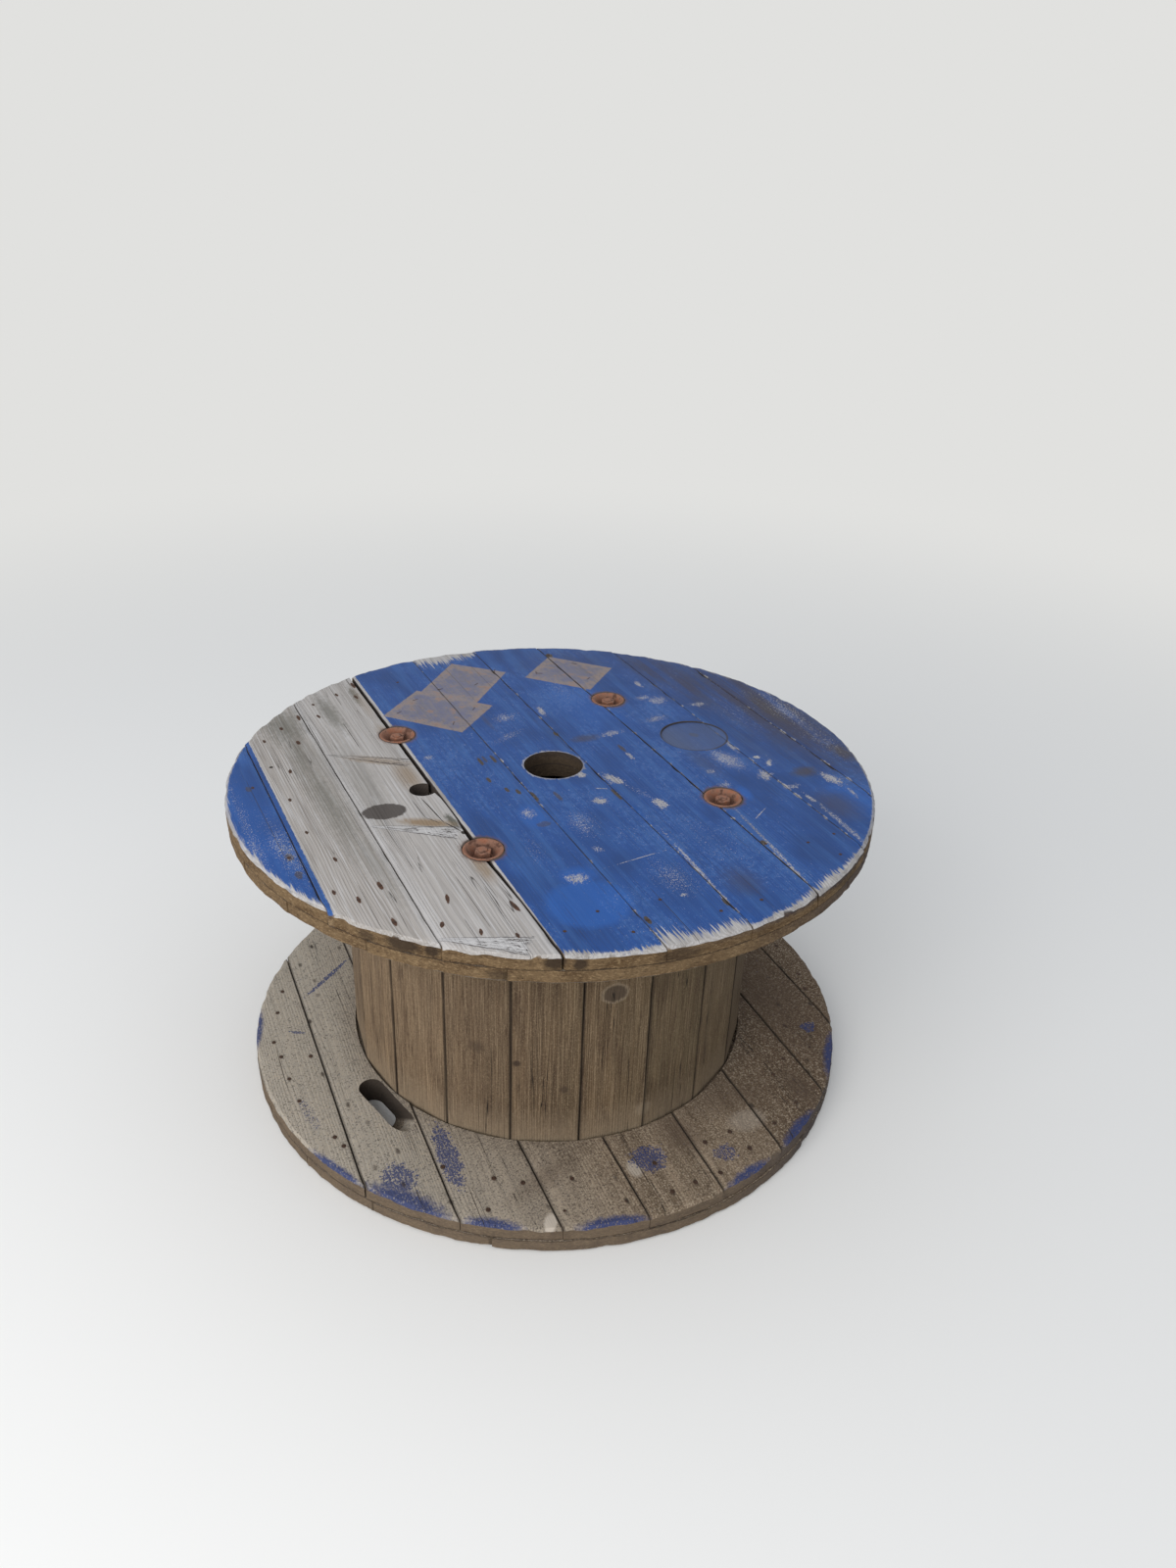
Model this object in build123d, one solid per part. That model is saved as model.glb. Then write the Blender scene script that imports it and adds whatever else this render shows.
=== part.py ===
from build123d import *

import os
from math import atan, cos, degrees, radians, sin, sqrt, tan

# Wooden cable drum, standing on one flange with its axis upright.
# Origin: on the drum's axis, in the plane that the bottom flange stands on.
# X runs across the boards of the face plies, Y along them, Z up the axis.

# Driving dimensions of the two flanges, in mm
flange_diameter = 900.0
ply_thickness = 20.0
rim_chamfer = 3.5  # worn arris of each flange's two outer rims
inner_ply_inset = 1.0  # the winding-side ply of each flange is cut a little smaller
board_ease = 1.2  # worn long edges on the open side of the boards

# The three widths that the boards were sawn to, and the gaps between them
narrow_board = 97.0
common_board = 110.0
wide_board = 116.0
board_gap = 2.5
open_seam_gap = 5.0
bottom_flange_turn = -2.2  # degrees, the bottom flange sits a little round from the top one

# Widths of the boards between the two at the rim, in order along X, for the face plies that lie in view
top_face_widths = [
    narrow_board,
    common_board,
    wide_board,
    common_board,
    common_board,
    wide_board,
    narrow_board,
]
top_face_shift = -8.0  # the middle of the row, along X
open_seam_number = 2  # the seam of the top face that has opened, counted from 0
winding_face_widths = [
    narrow_board,
    wide_board,
    common_board,
    common_board,
    common_board,
    wide_board,
    narrow_board,
]
least_rim_board = 45.0  # a narrower strip at the rim is left out, and the board beside it runs to the rim
crossing_angle = 90.0  # degrees, between the boards of a flange's two plies

# Barrel
traverse = 383.0  # clear width between the flanges, where the cable is wound
barrel_diameter = 600.0  # over the outer corners of the staves
stave_count = 20
stave_thickness = 25.0
stave_gap = 2.5
stave_ease = 1.5
first_stave_angle = 11.0  # degrees from X to the middle of the first stave
groove_depth = 8.0
groove_clearance = 1.0

# Holes that the drum is turned and driven by
bore_diameter = 84.0
drive_hole_diameter = 36.0
drive_hole_radius = 194.0  # from the axis, along -X

# Cable entry slot: a straight slot through the bottom flange and a slanting drilled ramp
slot_angle = 194.0  # degrees from X to the slot's round end
slot_width = 35.0
slot_straight = 30.0
slot_groove_wall = 3.0  # wood left between the slot and the staves' groove
slot_to_seam = 53.3  # from the slot's round end to the first seam, so that one board holds the whole slot
ramp_slope = 35.0  # degrees from the flange's face
ramp_reach = 75.0  # from the slot's round end to where the ramp's axis leaves the face
ramp_side_clearance = 0.5

# Trial cut of a hole saw in the top face: deep at one side and run out at the other
trial_cut_diameter = 100.0
trial_cut_depth = 2.2
trial_cut_radius = 236.0  # from the axis
trial_cut_angle = 2.0  # degrees from X
trial_cut_deep_side = 123.0  # degrees from X

# Tie bolts with their nuts and dished washers
bolt_count = 4
bolt_stave_clearance = 18.8  # between a bolt and the inside of the staves
bolt_diameter = 12.0
bolt_hole_clearance = 0.5
bolt_end = 1.5  # past the nut
hex_width = 19.0
head_height = 7.5
nut_height = 10.0
thread_clearance = 0.1
washer_diameter = 52.0
washer_thickness = 2.5
washer_mouth = 45.0
washer_depth = 12.0
washer_floor = 26.0
washer_hole_clearance = 0.75
washer_seat_clearance = 0.3
fastener_sides = 12  # bolts, washers and their holes are many-sided, not round
top_washer_let_in = 2.0  # drawn into the wood by the nuts
bottom_washer_let_in = 3.5  # deeper, so that the drum stands on its boards

# Derived sizes
flange_radius = flange_diameter / 2
inner_ply_radius = flange_radius - inner_ply_inset
flange_thickness = 2 * ply_thickness
drum_height = traverse + 2 * flange_thickness
barrel_radius = barrel_diameter / 2
stave_half_angle = 180.0 / stave_count
stave_outer_flat = barrel_radius * cos(radians(stave_half_angle))
stave_inner_flat = stave_outer_flat - stave_thickness
groove_outer_radius = barrel_radius + groove_clearance
groove_inner_radius = stave_inner_flat - groove_clearance
slot_radius = groove_outer_radius + slot_groove_wall + slot_width / 2
bolt_circle_radius = stave_inner_flat - bolt_stave_clearance - bolt_diameter / 2
dish_slope = (washer_mouth - washer_floor) / 2 / washer_depth
slot_across = slot_radius * cos(radians(slot_angle - bottom_flange_turn))
cross_widths = [common_board] * len(top_face_widths)
cut_over = 5.0  # how far every cutter runs past the wood that it cuts
on_base = (Align.CENTER, Align.CENTER, Align.MIN)

# Height of the underside of each ply
bottom_outer_level = 0.0
bottom_inner_level = ply_thickness
top_inner_level = drum_height - flange_thickness
top_outer_level = drum_height - ply_thickness


def ply_disc(level, radius, opens_up):
    """Round blank of one ply, with the worn arris round its open side."""
    disc = Pos(0, 0, level) * Cylinder(radius, ply_thickness, align=on_base)
    rims = disc.edges().filter_by(GeomType.CIRCLE).sort_by(Axis.Z)
    return chamfer(rims[-1] if opens_up else rims[0], rim_chamfer)


def row_start(widths, middle=0.0):
    """First seam of a row of boards that lies evenly about its middle."""
    return middle - sum(widths) / 2


def board_edges(widths, first_seam, open_seam=None):
    """Left and right edge of each board of a ply by its number; the outermost boards run out to the rim."""
    seams = [first_seam]
    for width in widths:
        seams.append(seams[-1] + width)
    gaps = [open_seam_gap if number == open_seam else board_gap for number in range(len(seams))]
    past_rim = flange_radius + cut_over
    last_seam = flange_radius - least_rim_board
    lefts = [-past_rim] + [seam + gap / 2 for seam, gap in zip(seams, gaps)]
    rights = [seam - gap / 2 for seam, gap in zip(seams, gaps)] + [past_rim]
    edges = {}
    for number, (left, right) in enumerate(zip(lefts, rights), start=1):
        if right > -last_seam and left < last_seam:
            start = left if left > -last_seam else -past_rim
            end = right if right < last_seam else past_rim
            edges[number] = (start, end)
    return edges


def board_prism(left, right, level, turn, opens_up):
    """One full-length sawn board, with its two long edges eased on the open side."""
    outline = Rectangle(right - left, ply_thickness)
    corners = outline.vertices().group_by(Axis.Y)
    outline = chamfer(corners[-1] if opens_up else corners[0], board_ease)
    section = Plane.XZ * (Pos((left + right) / 2, level + ply_thickness / 2) * outline)
    return Rot(0, 0, turn) * extrude(section, amount=flange_radius + cut_over, both=True)


def make_ply(name, disc, edges, level, turn, opens_up):
    """The boards of one ply by name, each cut from the round blank."""
    return {
        f"{name}_board_{number}": disc & board_prism(left, right, level, turn, opens_up)
        for number, (left, right) in edges.items()
    }


def many_sided(radius):
    """Flat outline of the bolts, their holes and washers, measured to the middle of its sides."""
    return RegularPolygon(radius, fastener_sides, major_radius=False)


def through_hole(x, y, diameter, level):
    """Cutter for a round hole through one ply."""
    low = level - cut_over
    length = ply_thickness + 2 * cut_over
    return Pos(x, y, low) * Cylinder(diameter / 2, length, align=on_base)


def bolt_places():
    """Centres of the tie bolts, on the diagonals between the board directions."""
    half_step = 180.0 / bolt_count
    angles = [radians(half_step + 2 * half_step * number) for number in range(bolt_count)]
    return [(bolt_circle_radius * cos(angle), bolt_circle_radius * sin(angle)) for angle in angles]


def drill_ply(disc, level):
    """Bore, drive hole and bolt holes, which line up through all four plies."""
    disc -= through_hole(0, 0, bore_diameter, level)
    disc -= through_hole(-drive_hole_radius, 0, drive_hole_diameter, level)
    for x, y in bolt_places():
        outline = many_sided(bolt_diameter / 2 + bolt_hole_clearance)
        disc -= Pos(x, y, level + ply_thickness / 2) * extrude(outline, ply_thickness, both=True)
    return disc


def stave_groove(level, opens_up):
    """Ring that the ends of the staves stand in, on the winding side of an inner ply."""
    low = level + ply_thickness - groove_depth if opens_up else level - cut_over
    height = groove_depth + cut_over
    outside = Cylinder(groove_outer_radius, height, align=on_base)
    inside = Cylinder(groove_inner_radius, height, align=on_base)
    return Pos(0, 0, low) * (outside - inside)


def cable_slot():
    """Straight slot through the bottom flange, and the round slanting ramp that leads a cable into it."""
    outline = Pos(0, slot_straight / 2) * Rot(0, 0, 90) * SlotCenterToCenter(slot_straight, slot_width)
    straight = Pos(0, 0, -cut_over) * extrude(outline, flange_thickness + 2 * cut_over)
    half_width = slot_width / 2 - ramp_side_clearance
    drill_length = 2 * (flange_thickness + 2 * cut_over) / sin(radians(ramp_slope))
    drill = Cylinder(half_width, drill_length)
    ramp = Pos(0, ramp_reach, flange_thickness) * Rot(ramp_slope - 90, 0, 0) * drill
    ramp_start = flange_thickness - ramp_reach * tan(radians(ramp_slope))
    open_level = flange_thickness + cut_over
    side = Polyline(
        (0, 0, ramp_start),
        (0, ramp_reach, flange_thickness),
        (0, ramp_reach, open_level),
        (0, 0, open_level),
        close=True,
    )
    above_ramp = extrude(make_face(side), half_width, both=True)
    return Rot(0, 0, slot_angle) * Pos(slot_radius, 0, 0) * (straight + ramp + above_ramp)


def trial_cut():
    """Shallow round recess that tilts, so that it runs out at one side."""
    x = trial_cut_radius * cos(radians(trial_cut_angle))
    y = trial_cut_radius * sin(radians(trial_cut_angle))
    tilt = trial_cut_depth / trial_cut_diameter
    lean_x = tilt * cos(radians(trial_cut_deep_side))
    lean_y = tilt * sin(radians(trial_cut_deep_side))
    floor = Plane(origin=(x, y, drum_height - trial_cut_depth / 2), z_dir=(lean_x, lean_y, 1))
    return extrude(floor * Circle(trial_cut_diameter / 2), ply_thickness)


def dish(mouth_radius, depth):
    """Funnel that opens upward at level 0, the form that the washers are pressed to."""
    return Rot(180, 0, 0) * extrude(many_sided(mouth_radius), depth, taper=degrees(atan(dish_slope)))


def dish_underside(margin=0.0):
    """Outside of a washer's dish below its rim; a margin widens it into the seat in the wood."""
    wall = washer_thickness * sqrt(1 + dish_slope**2)
    return dish(washer_mouth / 2 - dish_slope * washer_thickness + wall + margin, washer_depth + margin)


def dished_washer():
    """Pressed washer: a flat rim on the board's face and a dish sunk into it, outward side up."""
    rim = extrude(many_sided(washer_diameter / 2), washer_thickness)
    hollow = Pos(0, 0, washer_thickness) * dish(washer_mouth / 2, washer_depth)
    hole = extrude(many_sided(bolt_diameter / 2 + washer_hole_clearance), -2 * washer_depth)
    return rim + dish_underside() - hollow - hole


def washer_seat(let_in):
    """Cutter for the seat under a dished washer, with a pocket for its rim, which is let in."""
    pocket = extrude(many_sided(washer_diameter / 2 + washer_seat_clearance), let_in + cut_over)
    return dish_underside(washer_seat_clearance) + pocket


def hex_prism(height):
    """Nut or bolt head blank, standing on its base."""
    return extrude(RegularPolygon(hex_width / 2, 6, major_radius=False), height)


def top_washer_place(x, y):
    """Outward side of the top face, at a bolt, as deep as its washer is let in."""
    return Pos(x, y, drum_height - top_washer_let_in)


def bottom_washer_place(x, y):
    """Outward side of the bottom face, at a bolt, as deep as its washer is let in."""
    return Pos(x, y, bottom_washer_let_in) * Rot(180, 0, 0)


def make_hardware():
    """Tie bolts, nuts and dished washers, four or eight of each."""
    washer_inside_floor = washer_thickness - washer_depth
    head_base = bottom_washer_let_in - washer_inside_floor
    nut_base = drum_height - top_washer_let_in + washer_inside_floor
    shank_length = nut_base + nut_height + bolt_end - head_base
    shank = extrude(many_sided(bolt_diameter / 2), shank_length)
    head = Pos(0, 0, -head_height) * hex_prism(head_height)
    nut_hole = extrude(many_sided(bolt_diameter / 2 + thread_clearance), nut_height)
    bolt = shank + head
    nut = hex_prism(nut_height) - nut_hole
    washer = dished_washer()
    places = bolt_places()
    bolts = [Pos(x, y, head_base) * bolt for x, y in places]
    nuts = [Pos(x, y, nut_base) * nut for x, y in places]
    washers = [top_washer_place(x, y) * washer for x, y in places]
    washers += [bottom_washer_place(x, y) * washer for x, y in places]
    return {"tie_bolts": bolts, "hex_nuts": nuts, "dished_washers": washers}


def make_staves():
    """Flat staves with bevelled sides, standing in the grooves of both flanges."""
    bevel = tan(radians(stave_half_angle))
    side_gap = stave_gap / 2 / cos(radians(stave_half_angle))
    outer_half = stave_outer_flat * bevel - side_gap
    inner_half = stave_inner_flat * bevel - side_gap
    corners = [
        (stave_inner_flat, -inner_half),
        (stave_outer_flat, -outer_half),
        (stave_outer_flat, outer_half),
        (stave_inner_flat, inner_half),
    ]
    section = make_face(Polyline(*corners, close=True))
    section = chamfer(section.vertices().group_by(Axis.X)[-1], stave_ease)
    length = traverse + 2 * groove_depth
    stave = Pos(0, 0, flange_thickness - groove_depth) * extrude(section, length)
    angles = [first_stave_angle + number * 360.0 / stave_count for number in range(stave_count)]
    return {f"stave_{number}": Rot(0, 0, angle) * stave for number, angle in enumerate(angles, start=1)}


def make_flanges():
    """Both flanges, each of two crossed plies of boards."""
    top_outer = drill_ply(ply_disc(top_outer_level, flange_radius, True), top_outer_level)
    top_inner = drill_ply(ply_disc(top_inner_level, inner_ply_radius, False), top_inner_level)
    bottom_inner = drill_ply(ply_disc(bottom_inner_level, inner_ply_radius, True), bottom_inner_level)
    bottom_outer = drill_ply(ply_disc(bottom_outer_level, flange_radius, False), bottom_outer_level)

    top_outer -= trial_cut()
    for x, y in bolt_places():
        top_outer -= top_washer_place(x, y) * washer_seat(top_washer_let_in)
        bottom_outer -= bottom_washer_place(x, y) * washer_seat(bottom_washer_let_in)
    top_inner -= stave_groove(top_inner_level, False)
    bottom_inner -= stave_groove(bottom_inner_level, True)
    slot = cable_slot()
    bottom_inner -= slot
    bottom_outer -= slot

    face_edges = board_edges(top_face_widths, row_start(top_face_widths, top_face_shift), open_seam_number)
    winding_edges = board_edges(winding_face_widths, slot_across - slot_to_seam)
    cross_edges = board_edges(cross_widths, row_start(cross_widths))
    turn = bottom_flange_turn
    across = crossing_angle
    boards = make_ply("top_outer", top_outer, face_edges, top_outer_level, 0.0, True)
    boards |= make_ply("top_inner", top_inner, cross_edges, top_inner_level, across, False)
    boards |= make_ply("bottom_inner", bottom_inner, winding_edges, bottom_inner_level, turn, True)
    boards |= make_ply("bottom_outer", bottom_outer, cross_edges, bottom_outer_level, across + turn, False)
    return boards


def write_parts():
    """One STEP file for each sub-part."""
    os.makedirs("parts", exist_ok=True)
    pieces = make_flanges() | make_staves()
    for name, piece in pieces.items():
        export_step(Compound(piece.solids()), f"parts/{name}.step")
    for name, like_pieces in make_hardware().items():
        solids = [solid for piece in like_pieces for solid in piece.solids()]
        export_step(Compound(solids), f"parts/{name}.step")


write_parts()
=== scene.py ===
import math
import random
import bpy
import bmesh
from mathutils import Matrix, Vector, noise


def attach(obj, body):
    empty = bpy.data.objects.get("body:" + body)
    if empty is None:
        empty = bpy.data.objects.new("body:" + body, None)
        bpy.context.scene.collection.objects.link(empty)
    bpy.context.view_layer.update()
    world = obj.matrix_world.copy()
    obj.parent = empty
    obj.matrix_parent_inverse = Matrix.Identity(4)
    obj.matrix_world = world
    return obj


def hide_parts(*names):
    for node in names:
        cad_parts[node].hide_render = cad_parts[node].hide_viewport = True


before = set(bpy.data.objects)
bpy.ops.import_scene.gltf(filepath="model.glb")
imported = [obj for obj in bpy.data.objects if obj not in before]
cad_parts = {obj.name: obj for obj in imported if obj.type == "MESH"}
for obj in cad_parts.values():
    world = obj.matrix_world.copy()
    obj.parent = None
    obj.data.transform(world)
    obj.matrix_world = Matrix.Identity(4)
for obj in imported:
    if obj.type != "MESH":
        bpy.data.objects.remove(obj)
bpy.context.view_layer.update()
mm = 0.001
print("frame loaded:", len(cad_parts), "nodes")

# the drum's own sizes in mm, as the solids have them
drum = {
    "flangeRadius": 450.0, "plyThickness": 20.0, "height": 463.0, "bottomTurn": -2.2, "boreRadius": 42.0,
    "staves": 20, "firstStave": 11.0, "boltCircle": 246.5, "cutPlace": (235.9, 8.2, 0.0), "cutRadius": 50.0,
    "bottomSeams": (-362.0, -265.0, -149.0, -39.0, 71.0, 181.0, 297.0, 394.0),
}


def toLinear(hexText):
    channels = [int(hexText[i:i + 2], 16) / 255 for i in (1, 3, 5)]
    return tuple(c / 12.92 if c <= 0.04045 else ((c + 0.055) / 1.055) ** 2.4 for c in channels) + (1.0,)


def addNode(tree, kind, links=(), out=0, **settings):
    # kind may end in an operation; links are the inputs in order, or a dictionary by socket
    kind, _, operation = kind.partition(" ")
    node = tree.nodes.new(kind if "Node" in kind else "ShaderNode" + kind)
    if operation:
        node.operation = operation
    for key, value in settings.items():
        setattr(node, key, value)
    for socket, source in (links.items() if isinstance(links, dict) else enumerate(links)):
        if isinstance(source, bpy.types.NodeSocket):
            tree.links.new(source, node.inputs[socket])
        else:
            node.inputs[socket].default_value = source
    return node.outputs[out] if len(node.outputs) else node


# patterns that the finishes share, all sized in mm
def millimetres(tree):
    return addNode(tree, "VectorMath SCALE", {0: addNode(tree, "TexCoord", out="Object"), "Scale": 1 / mm})


def mottle(tree, place, sizes, detail=2.0, roughness=0.55, out=0):
    # cloudy blotches about as large as sizes, longer one way for streaks
    scaled = addNode(tree, "VectorMath MULTIPLY", [place, tuple(1 / s for s in sizes)])
    links = {"Vector": scaled, "Scale": 1.0, "Detail": detail, "Roughness": roughness}
    return addNode(tree, "TexNoise", links, out=out)


def coats(tree, base, layers):
    # each coat covers the ones before it where its mask says; a mask of four is a pattern, where the coat
    # starts, where it is full, and how strong it is there
    colour = base if isinstance(base, bpy.types.NodeSocket) else toLinear(base)
    for mask, coat in layers:
        if isinstance(mask, tuple):
            pattern, start, full, strength = mask
            mask = addNode(tree, "MapRange", [pattern, start, full, 0.0, strength])
        shade = coat if isinstance(coat, bpy.types.NodeSocket) else toLinear(coat)
        colour = addNode(tree, "Mix", {0: mask, 6: colour, 7: shade}, out=2, data_type="RGBA")
    return colour


def strongest(tree, masks):
    total = masks[0]
    for mask in masks[1:]:
        total = addNode(tree, "Math MAXIMUM", [total, mask])
    return total


def stacked(tree, height, rows):
    # adds each pattern's share to a relief
    for pattern, share in rows:
        height = addNode(tree, "Math MULTIPLY_ADD", [pattern, share, height])
    return height


def distanceTo(tree, value, level):
    return addNode(tree, "Math ABSOLUTE", [addNode(tree, "Math SUBTRACT", [value, level])])


def localPlace(tree, place, mark):
    # the mark's own axes, on which its half sizes are 1
    return addNode(tree, "Mapping", {
        "Vector": place, "Location": (mark["x"], mark["y"], mark.get("z", 0.0)),
        "Rotation": (0.0, 0.0, math.radians(mark["turn"])),
        "Scale": (mark.get("rx", 1.0), mark.get("ry", 1.0), mark.get("rz", 1e6)),
    }, vector_type="TEXTURE")


def spot(x, y, rx, ry, turn=0.0, strength=1.0, soft=0.12, z=0.0, rz=1e6):
    # an oval mark, sizes in mm
    return {"x": x, "y": y, "z": z, "rx": rx, "ry": ry, "rz": rz, "turn": turn, "strength": strength, "soft": soft}


def spotMask(tree, place, spots, breakUp, amount=0.8, softer=0.0):
    # the strongest of several spots at each point, their outlines broken up by a noise
    masks = [0.0]
    edge = 1.0 + amount / 2
    for mark in spots:
        soft = mark["soft"] + softer
        reach = addNode(tree, "VectorMath LENGTH", [localPlace(tree, place, mark)], out="Value")
        ragged = addNode(tree, "Math MULTIPLY_ADD", [breakUp, amount, reach])
        masks.append(addNode(tree, "MapRange", [ragged, edge + soft, edge - soft, 0.0, mark["strength"]]))
    return strongest(tree, masks)


def boxMask(tree, place, boxes, breakUp, amount=0.05, soft=0.015):
    # as spotMask, for sharp four-sided patches; also gives how far out of a patch's middle a point lies
    nearest = 9.0
    for box in boxes:
        local = addNode(tree, "VectorMath ABSOLUTE", [localPlace(tree, place, box)])
        sides = addNode(tree, "SeparateXYZ", [local]).node.outputs
        nearest = addNode(tree, "Math MINIMUM", [nearest, strongest(tree, sides[:2])])
    ragged = addNode(tree, "Math MULTIPLY_ADD", [breakUp, amount, nearest])
    edge = 1.0 + amount / 2
    return addNode(tree, "MapRange", [ragged, edge + soft, edge - soft]), nearest


def between(spots, low, high):
    # only the marks that reach the boards from low to high, which keeps each finish quick
    sizes = [(s, max(s["rx"], s["ry"])) for s in spots]
    return [s for s, size in sizes if low < s["x"] + size and s["x"] - size < high]


# pine: light earlywood between thin dark latewood rings, fine fibres along the board, drying cracks
pine = {
    "fibre": (1.2, 110.0, 1.2), "cloud": (15.0, 230.0, 15.0), "warp": (70.0, 330.0, 70.0),
    "crack": (7.0, 420.0, 12.0), "crackArea": (30.0, 200.0, 40.0), "ringSpacing": 3.4, "waviness": 14.0,
}


def pineFigureGroup():
    tree = bpy.data.node_groups.new("pineFigure", "ShaderNodeTree")
    tree.interface.new_socket("grain", in_out="INPUT", socket_type="NodeSocketVector")
    for name in ("ringSpacing", "waviness"):
        socket = tree.interface.new_socket(name, in_out="INPUT", socket_type="NodeSocketFloat")
        socket.default_value = pine[name]
    for name in ("ring", "fibre", "cloud", "crack"):
        tree.interface.new_socket(name, in_out="OUTPUT", socket_type="NodeSocketFloat")
    entry = tree.nodes.new("NodeGroupInput").outputs
    grain = entry["grain"]
    # growth rings are rings round the pith, a little out of round
    warp = mottle(tree, grain, pine["warp"], out="Color")
    centred = addNode(tree, "VectorMath SUBTRACT", [warp, (0.5, 0.5, 0.5)])
    moved = addNode(tree, "VectorMath SCALE", {0: centred, "Scale": entry["waviness"]})
    across = addNode(tree, "VectorMath MULTIPLY", [grain, (1.0, 0.0, 1.0)])
    sideways = addNode(tree, "VectorMath MULTIPLY", [moved, (1.0, 0.0, 1.0)])
    fromPith = addNode(tree, "VectorMath ADD", [across, sideways])
    distance = addNode(tree, "VectorMath LENGTH", [fromPith], out="Value")
    year = addNode(tree, "Math FRACT", [addNode(tree, "Math DIVIDE", [distance, entry["ringSpacing"]])])
    darkening = addNode(tree, "MapRange", [year, 0.25, 0.88], interpolation_type="SMOOTHSTEP")
    ending = addNode(tree, "MapRange", [year, 1.0, 0.9])
    ring = addNode(tree, "Math MULTIPLY", [darkening, ending])
    fibre = mottle(tree, grain, pine["fibre"], detail=3.0, roughness=0.6)
    cloud = mottle(tree, grain, pine["cloud"], detail=3.0)
    # a crack follows the middle value of a long noise, in some areas only
    split = mottle(tree, grain, pine["crack"], detail=1.0, roughness=0.5)
    line = addNode(tree, "MapRange", [distanceTo(tree, split, 0.5), 0.010, 0.002])
    some = addNode(tree, "MapRange", [mottle(tree, grain, pine["crackArea"], detail=1.0), 0.54, 0.62])
    crack = addNode(tree, "Math MULTIPLY", [line, some])
    leave = tree.nodes.new("NodeGroupOutput").inputs
    for name, source in (("ring", ring), ("fibre", fibre), ("cloud", cloud), ("crack", crack)):
        tree.links.new(source, leave[name])
    return tree


pineFigure = pineFigureGroup()

# rings of nails that hold the lower flange's plies together; the stains and the heads use the same places
nailRings = (
    {"radius": 418.0, "count": 48, "spread": 13.0, "jitter": 0.7, "seed": 3.0},
    {"radius": 372.0, "count": 38, "spread": 16.0, "jitter": 0.7, "seed": 11.0},
)


def nailStain(tree, place, halfWide, halfLong):
    # dark rust and damp round each nail, drawn out along the boards
    x, y, z = addNode(tree, "SeparateXYZ", [place]).node.outputs
    turn = addNode(tree, "Math ARCTAN2", [y, x])
    masks = []
    for ring in nailRings:
        step = 2 * math.pi / ring["count"]
        cell = addNode(tree, "Math FLOOR", [addNode(tree, "Math MULTIPLY", [turn, 1 / step])])
        seeded = addNode(tree, "Math ADD", [cell, ring["seed"] * 100.0])
        chance = addNode(tree, "TexWhiteNoise", {"W": seeded}, out="Color", noise_dimensions="1D")
        chances = addNode(tree, "SeparateColor", [chance]).node.outputs
        jitter = addNode(tree, "Math MULTIPLY_ADD", [chances[0], ring["jitter"], 0.5 - ring["jitter"] / 2])
        angle = addNode(tree, "Math MULTIPLY", [addNode(tree, "Math ADD", [cell, jitter]), step])
        radius = addNode(tree, "Math MULTIPLY_ADD", [chances[1], ring["spread"], ring["radius"] - ring["spread"] / 2])
        turned = [addNode(tree, "Math " + part, [angle]) for part in ("COSINE", "SINE")]
        centre = addNode(tree, "CombineXYZ", [addNode(tree, "Math MULTIPLY", [part, radius]) for part in turned])
        away = addNode(tree, "VectorMath SUBTRACT", [place, centre])
        stretched = addNode(tree, "VectorMath MULTIPLY", [away, (1 / halfWide, 1 / halfLong, 0.0)])
        reach = addNode(tree, "VectorMath LENGTH", [stretched], out="Value")
        stain = addNode(tree, "MapRange", [reach, 1.0, 0.25], interpolation_type="SMOOTHSTEP")
        some = addNode(tree, "MapRange", [chances[2], 0.0, 1.0, 0.45, 1.0])
        masks.append(addNode(tree, "Math MULTIPLY", [stain, some]))
    return strongest(tree, masks)


def boltHalo(tree, place, ragged):
    # rust washed into the wood round the four washers, and a ring of painted shade at their rims, where they are let
    # into the wood
    half = drum["boltCircle"] / math.sqrt(2)
    folded = addNode(tree, "VectorMath ABSOLUTE", [place])
    away = addNode(tree, "VectorMath SUBTRACT", [folded, (half, half, 0.0)])
    oval = addNode(tree, "VectorMath MULTIPLY", [away, (1.0, 0.9, 0.0)])
    reach = addNode(tree, "VectorMath LENGTH", [oval], out="Value")
    washed = addNode(tree, "Math MULTIPLY_ADD", [ragged, 12.0, reach])
    return (washed, 38.0, 31.0, 0.65), (reach, 28.0, 26.5, 0.85)


def startMaterial(name):
    material = bpy.data.materials.new(name)
    material.use_nodes = True
    material.node_tree.nodes.clear()
    return material, material.node_tree


def startWood(name):
    # what every wood finish reads: the place in mm, its parts, the way from the axis, and the piece's own figure
    material, tree = startMaterial(name)
    place = millimetres(tree)
    parts = addNode(tree, "SeparateXYZ", [place]).node.outputs
    flat = addNode(tree, "VectorMath MULTIPLY", [place, (1.0, 1.0, 0.0)])
    radius = addNode(tree, "VectorMath LENGTH", [flat], out="Value")
    grain = addNode(tree, "Attribute", out="Vector", attribute_name="grain")
    edge, tone = [addNode(tree, "Attribute", out="Fac", attribute_name=name) for name in ("edge", "tone")]
    figure = addNode(tree, "ShaderNodeGroup", node_tree=pineFigure).node
    tree.links.new(grain, figure.inputs["grain"])
    return material, tree, place, parts, flat, radius, grain, edge, tone, figure.outputs


def finishMaterial(tree, colour, roughness, height, relief, **constants):
    # relief is how many mm the height of 1 stands for
    bump = addNode(tree, "Bump", {"Height": height, "Distance": relief * mm, "Strength": 1.0})
    shader = addNode(tree, "BsdfPrincipled", {"Base Color": colour, "Roughness": roughness, "Normal": bump})
    for name, value in constants.items():
        shader.node.inputs[name.replace("_", " ")].default_value = value
    addNode(tree, "OutputMaterial", {"Surface": shader})


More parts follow.
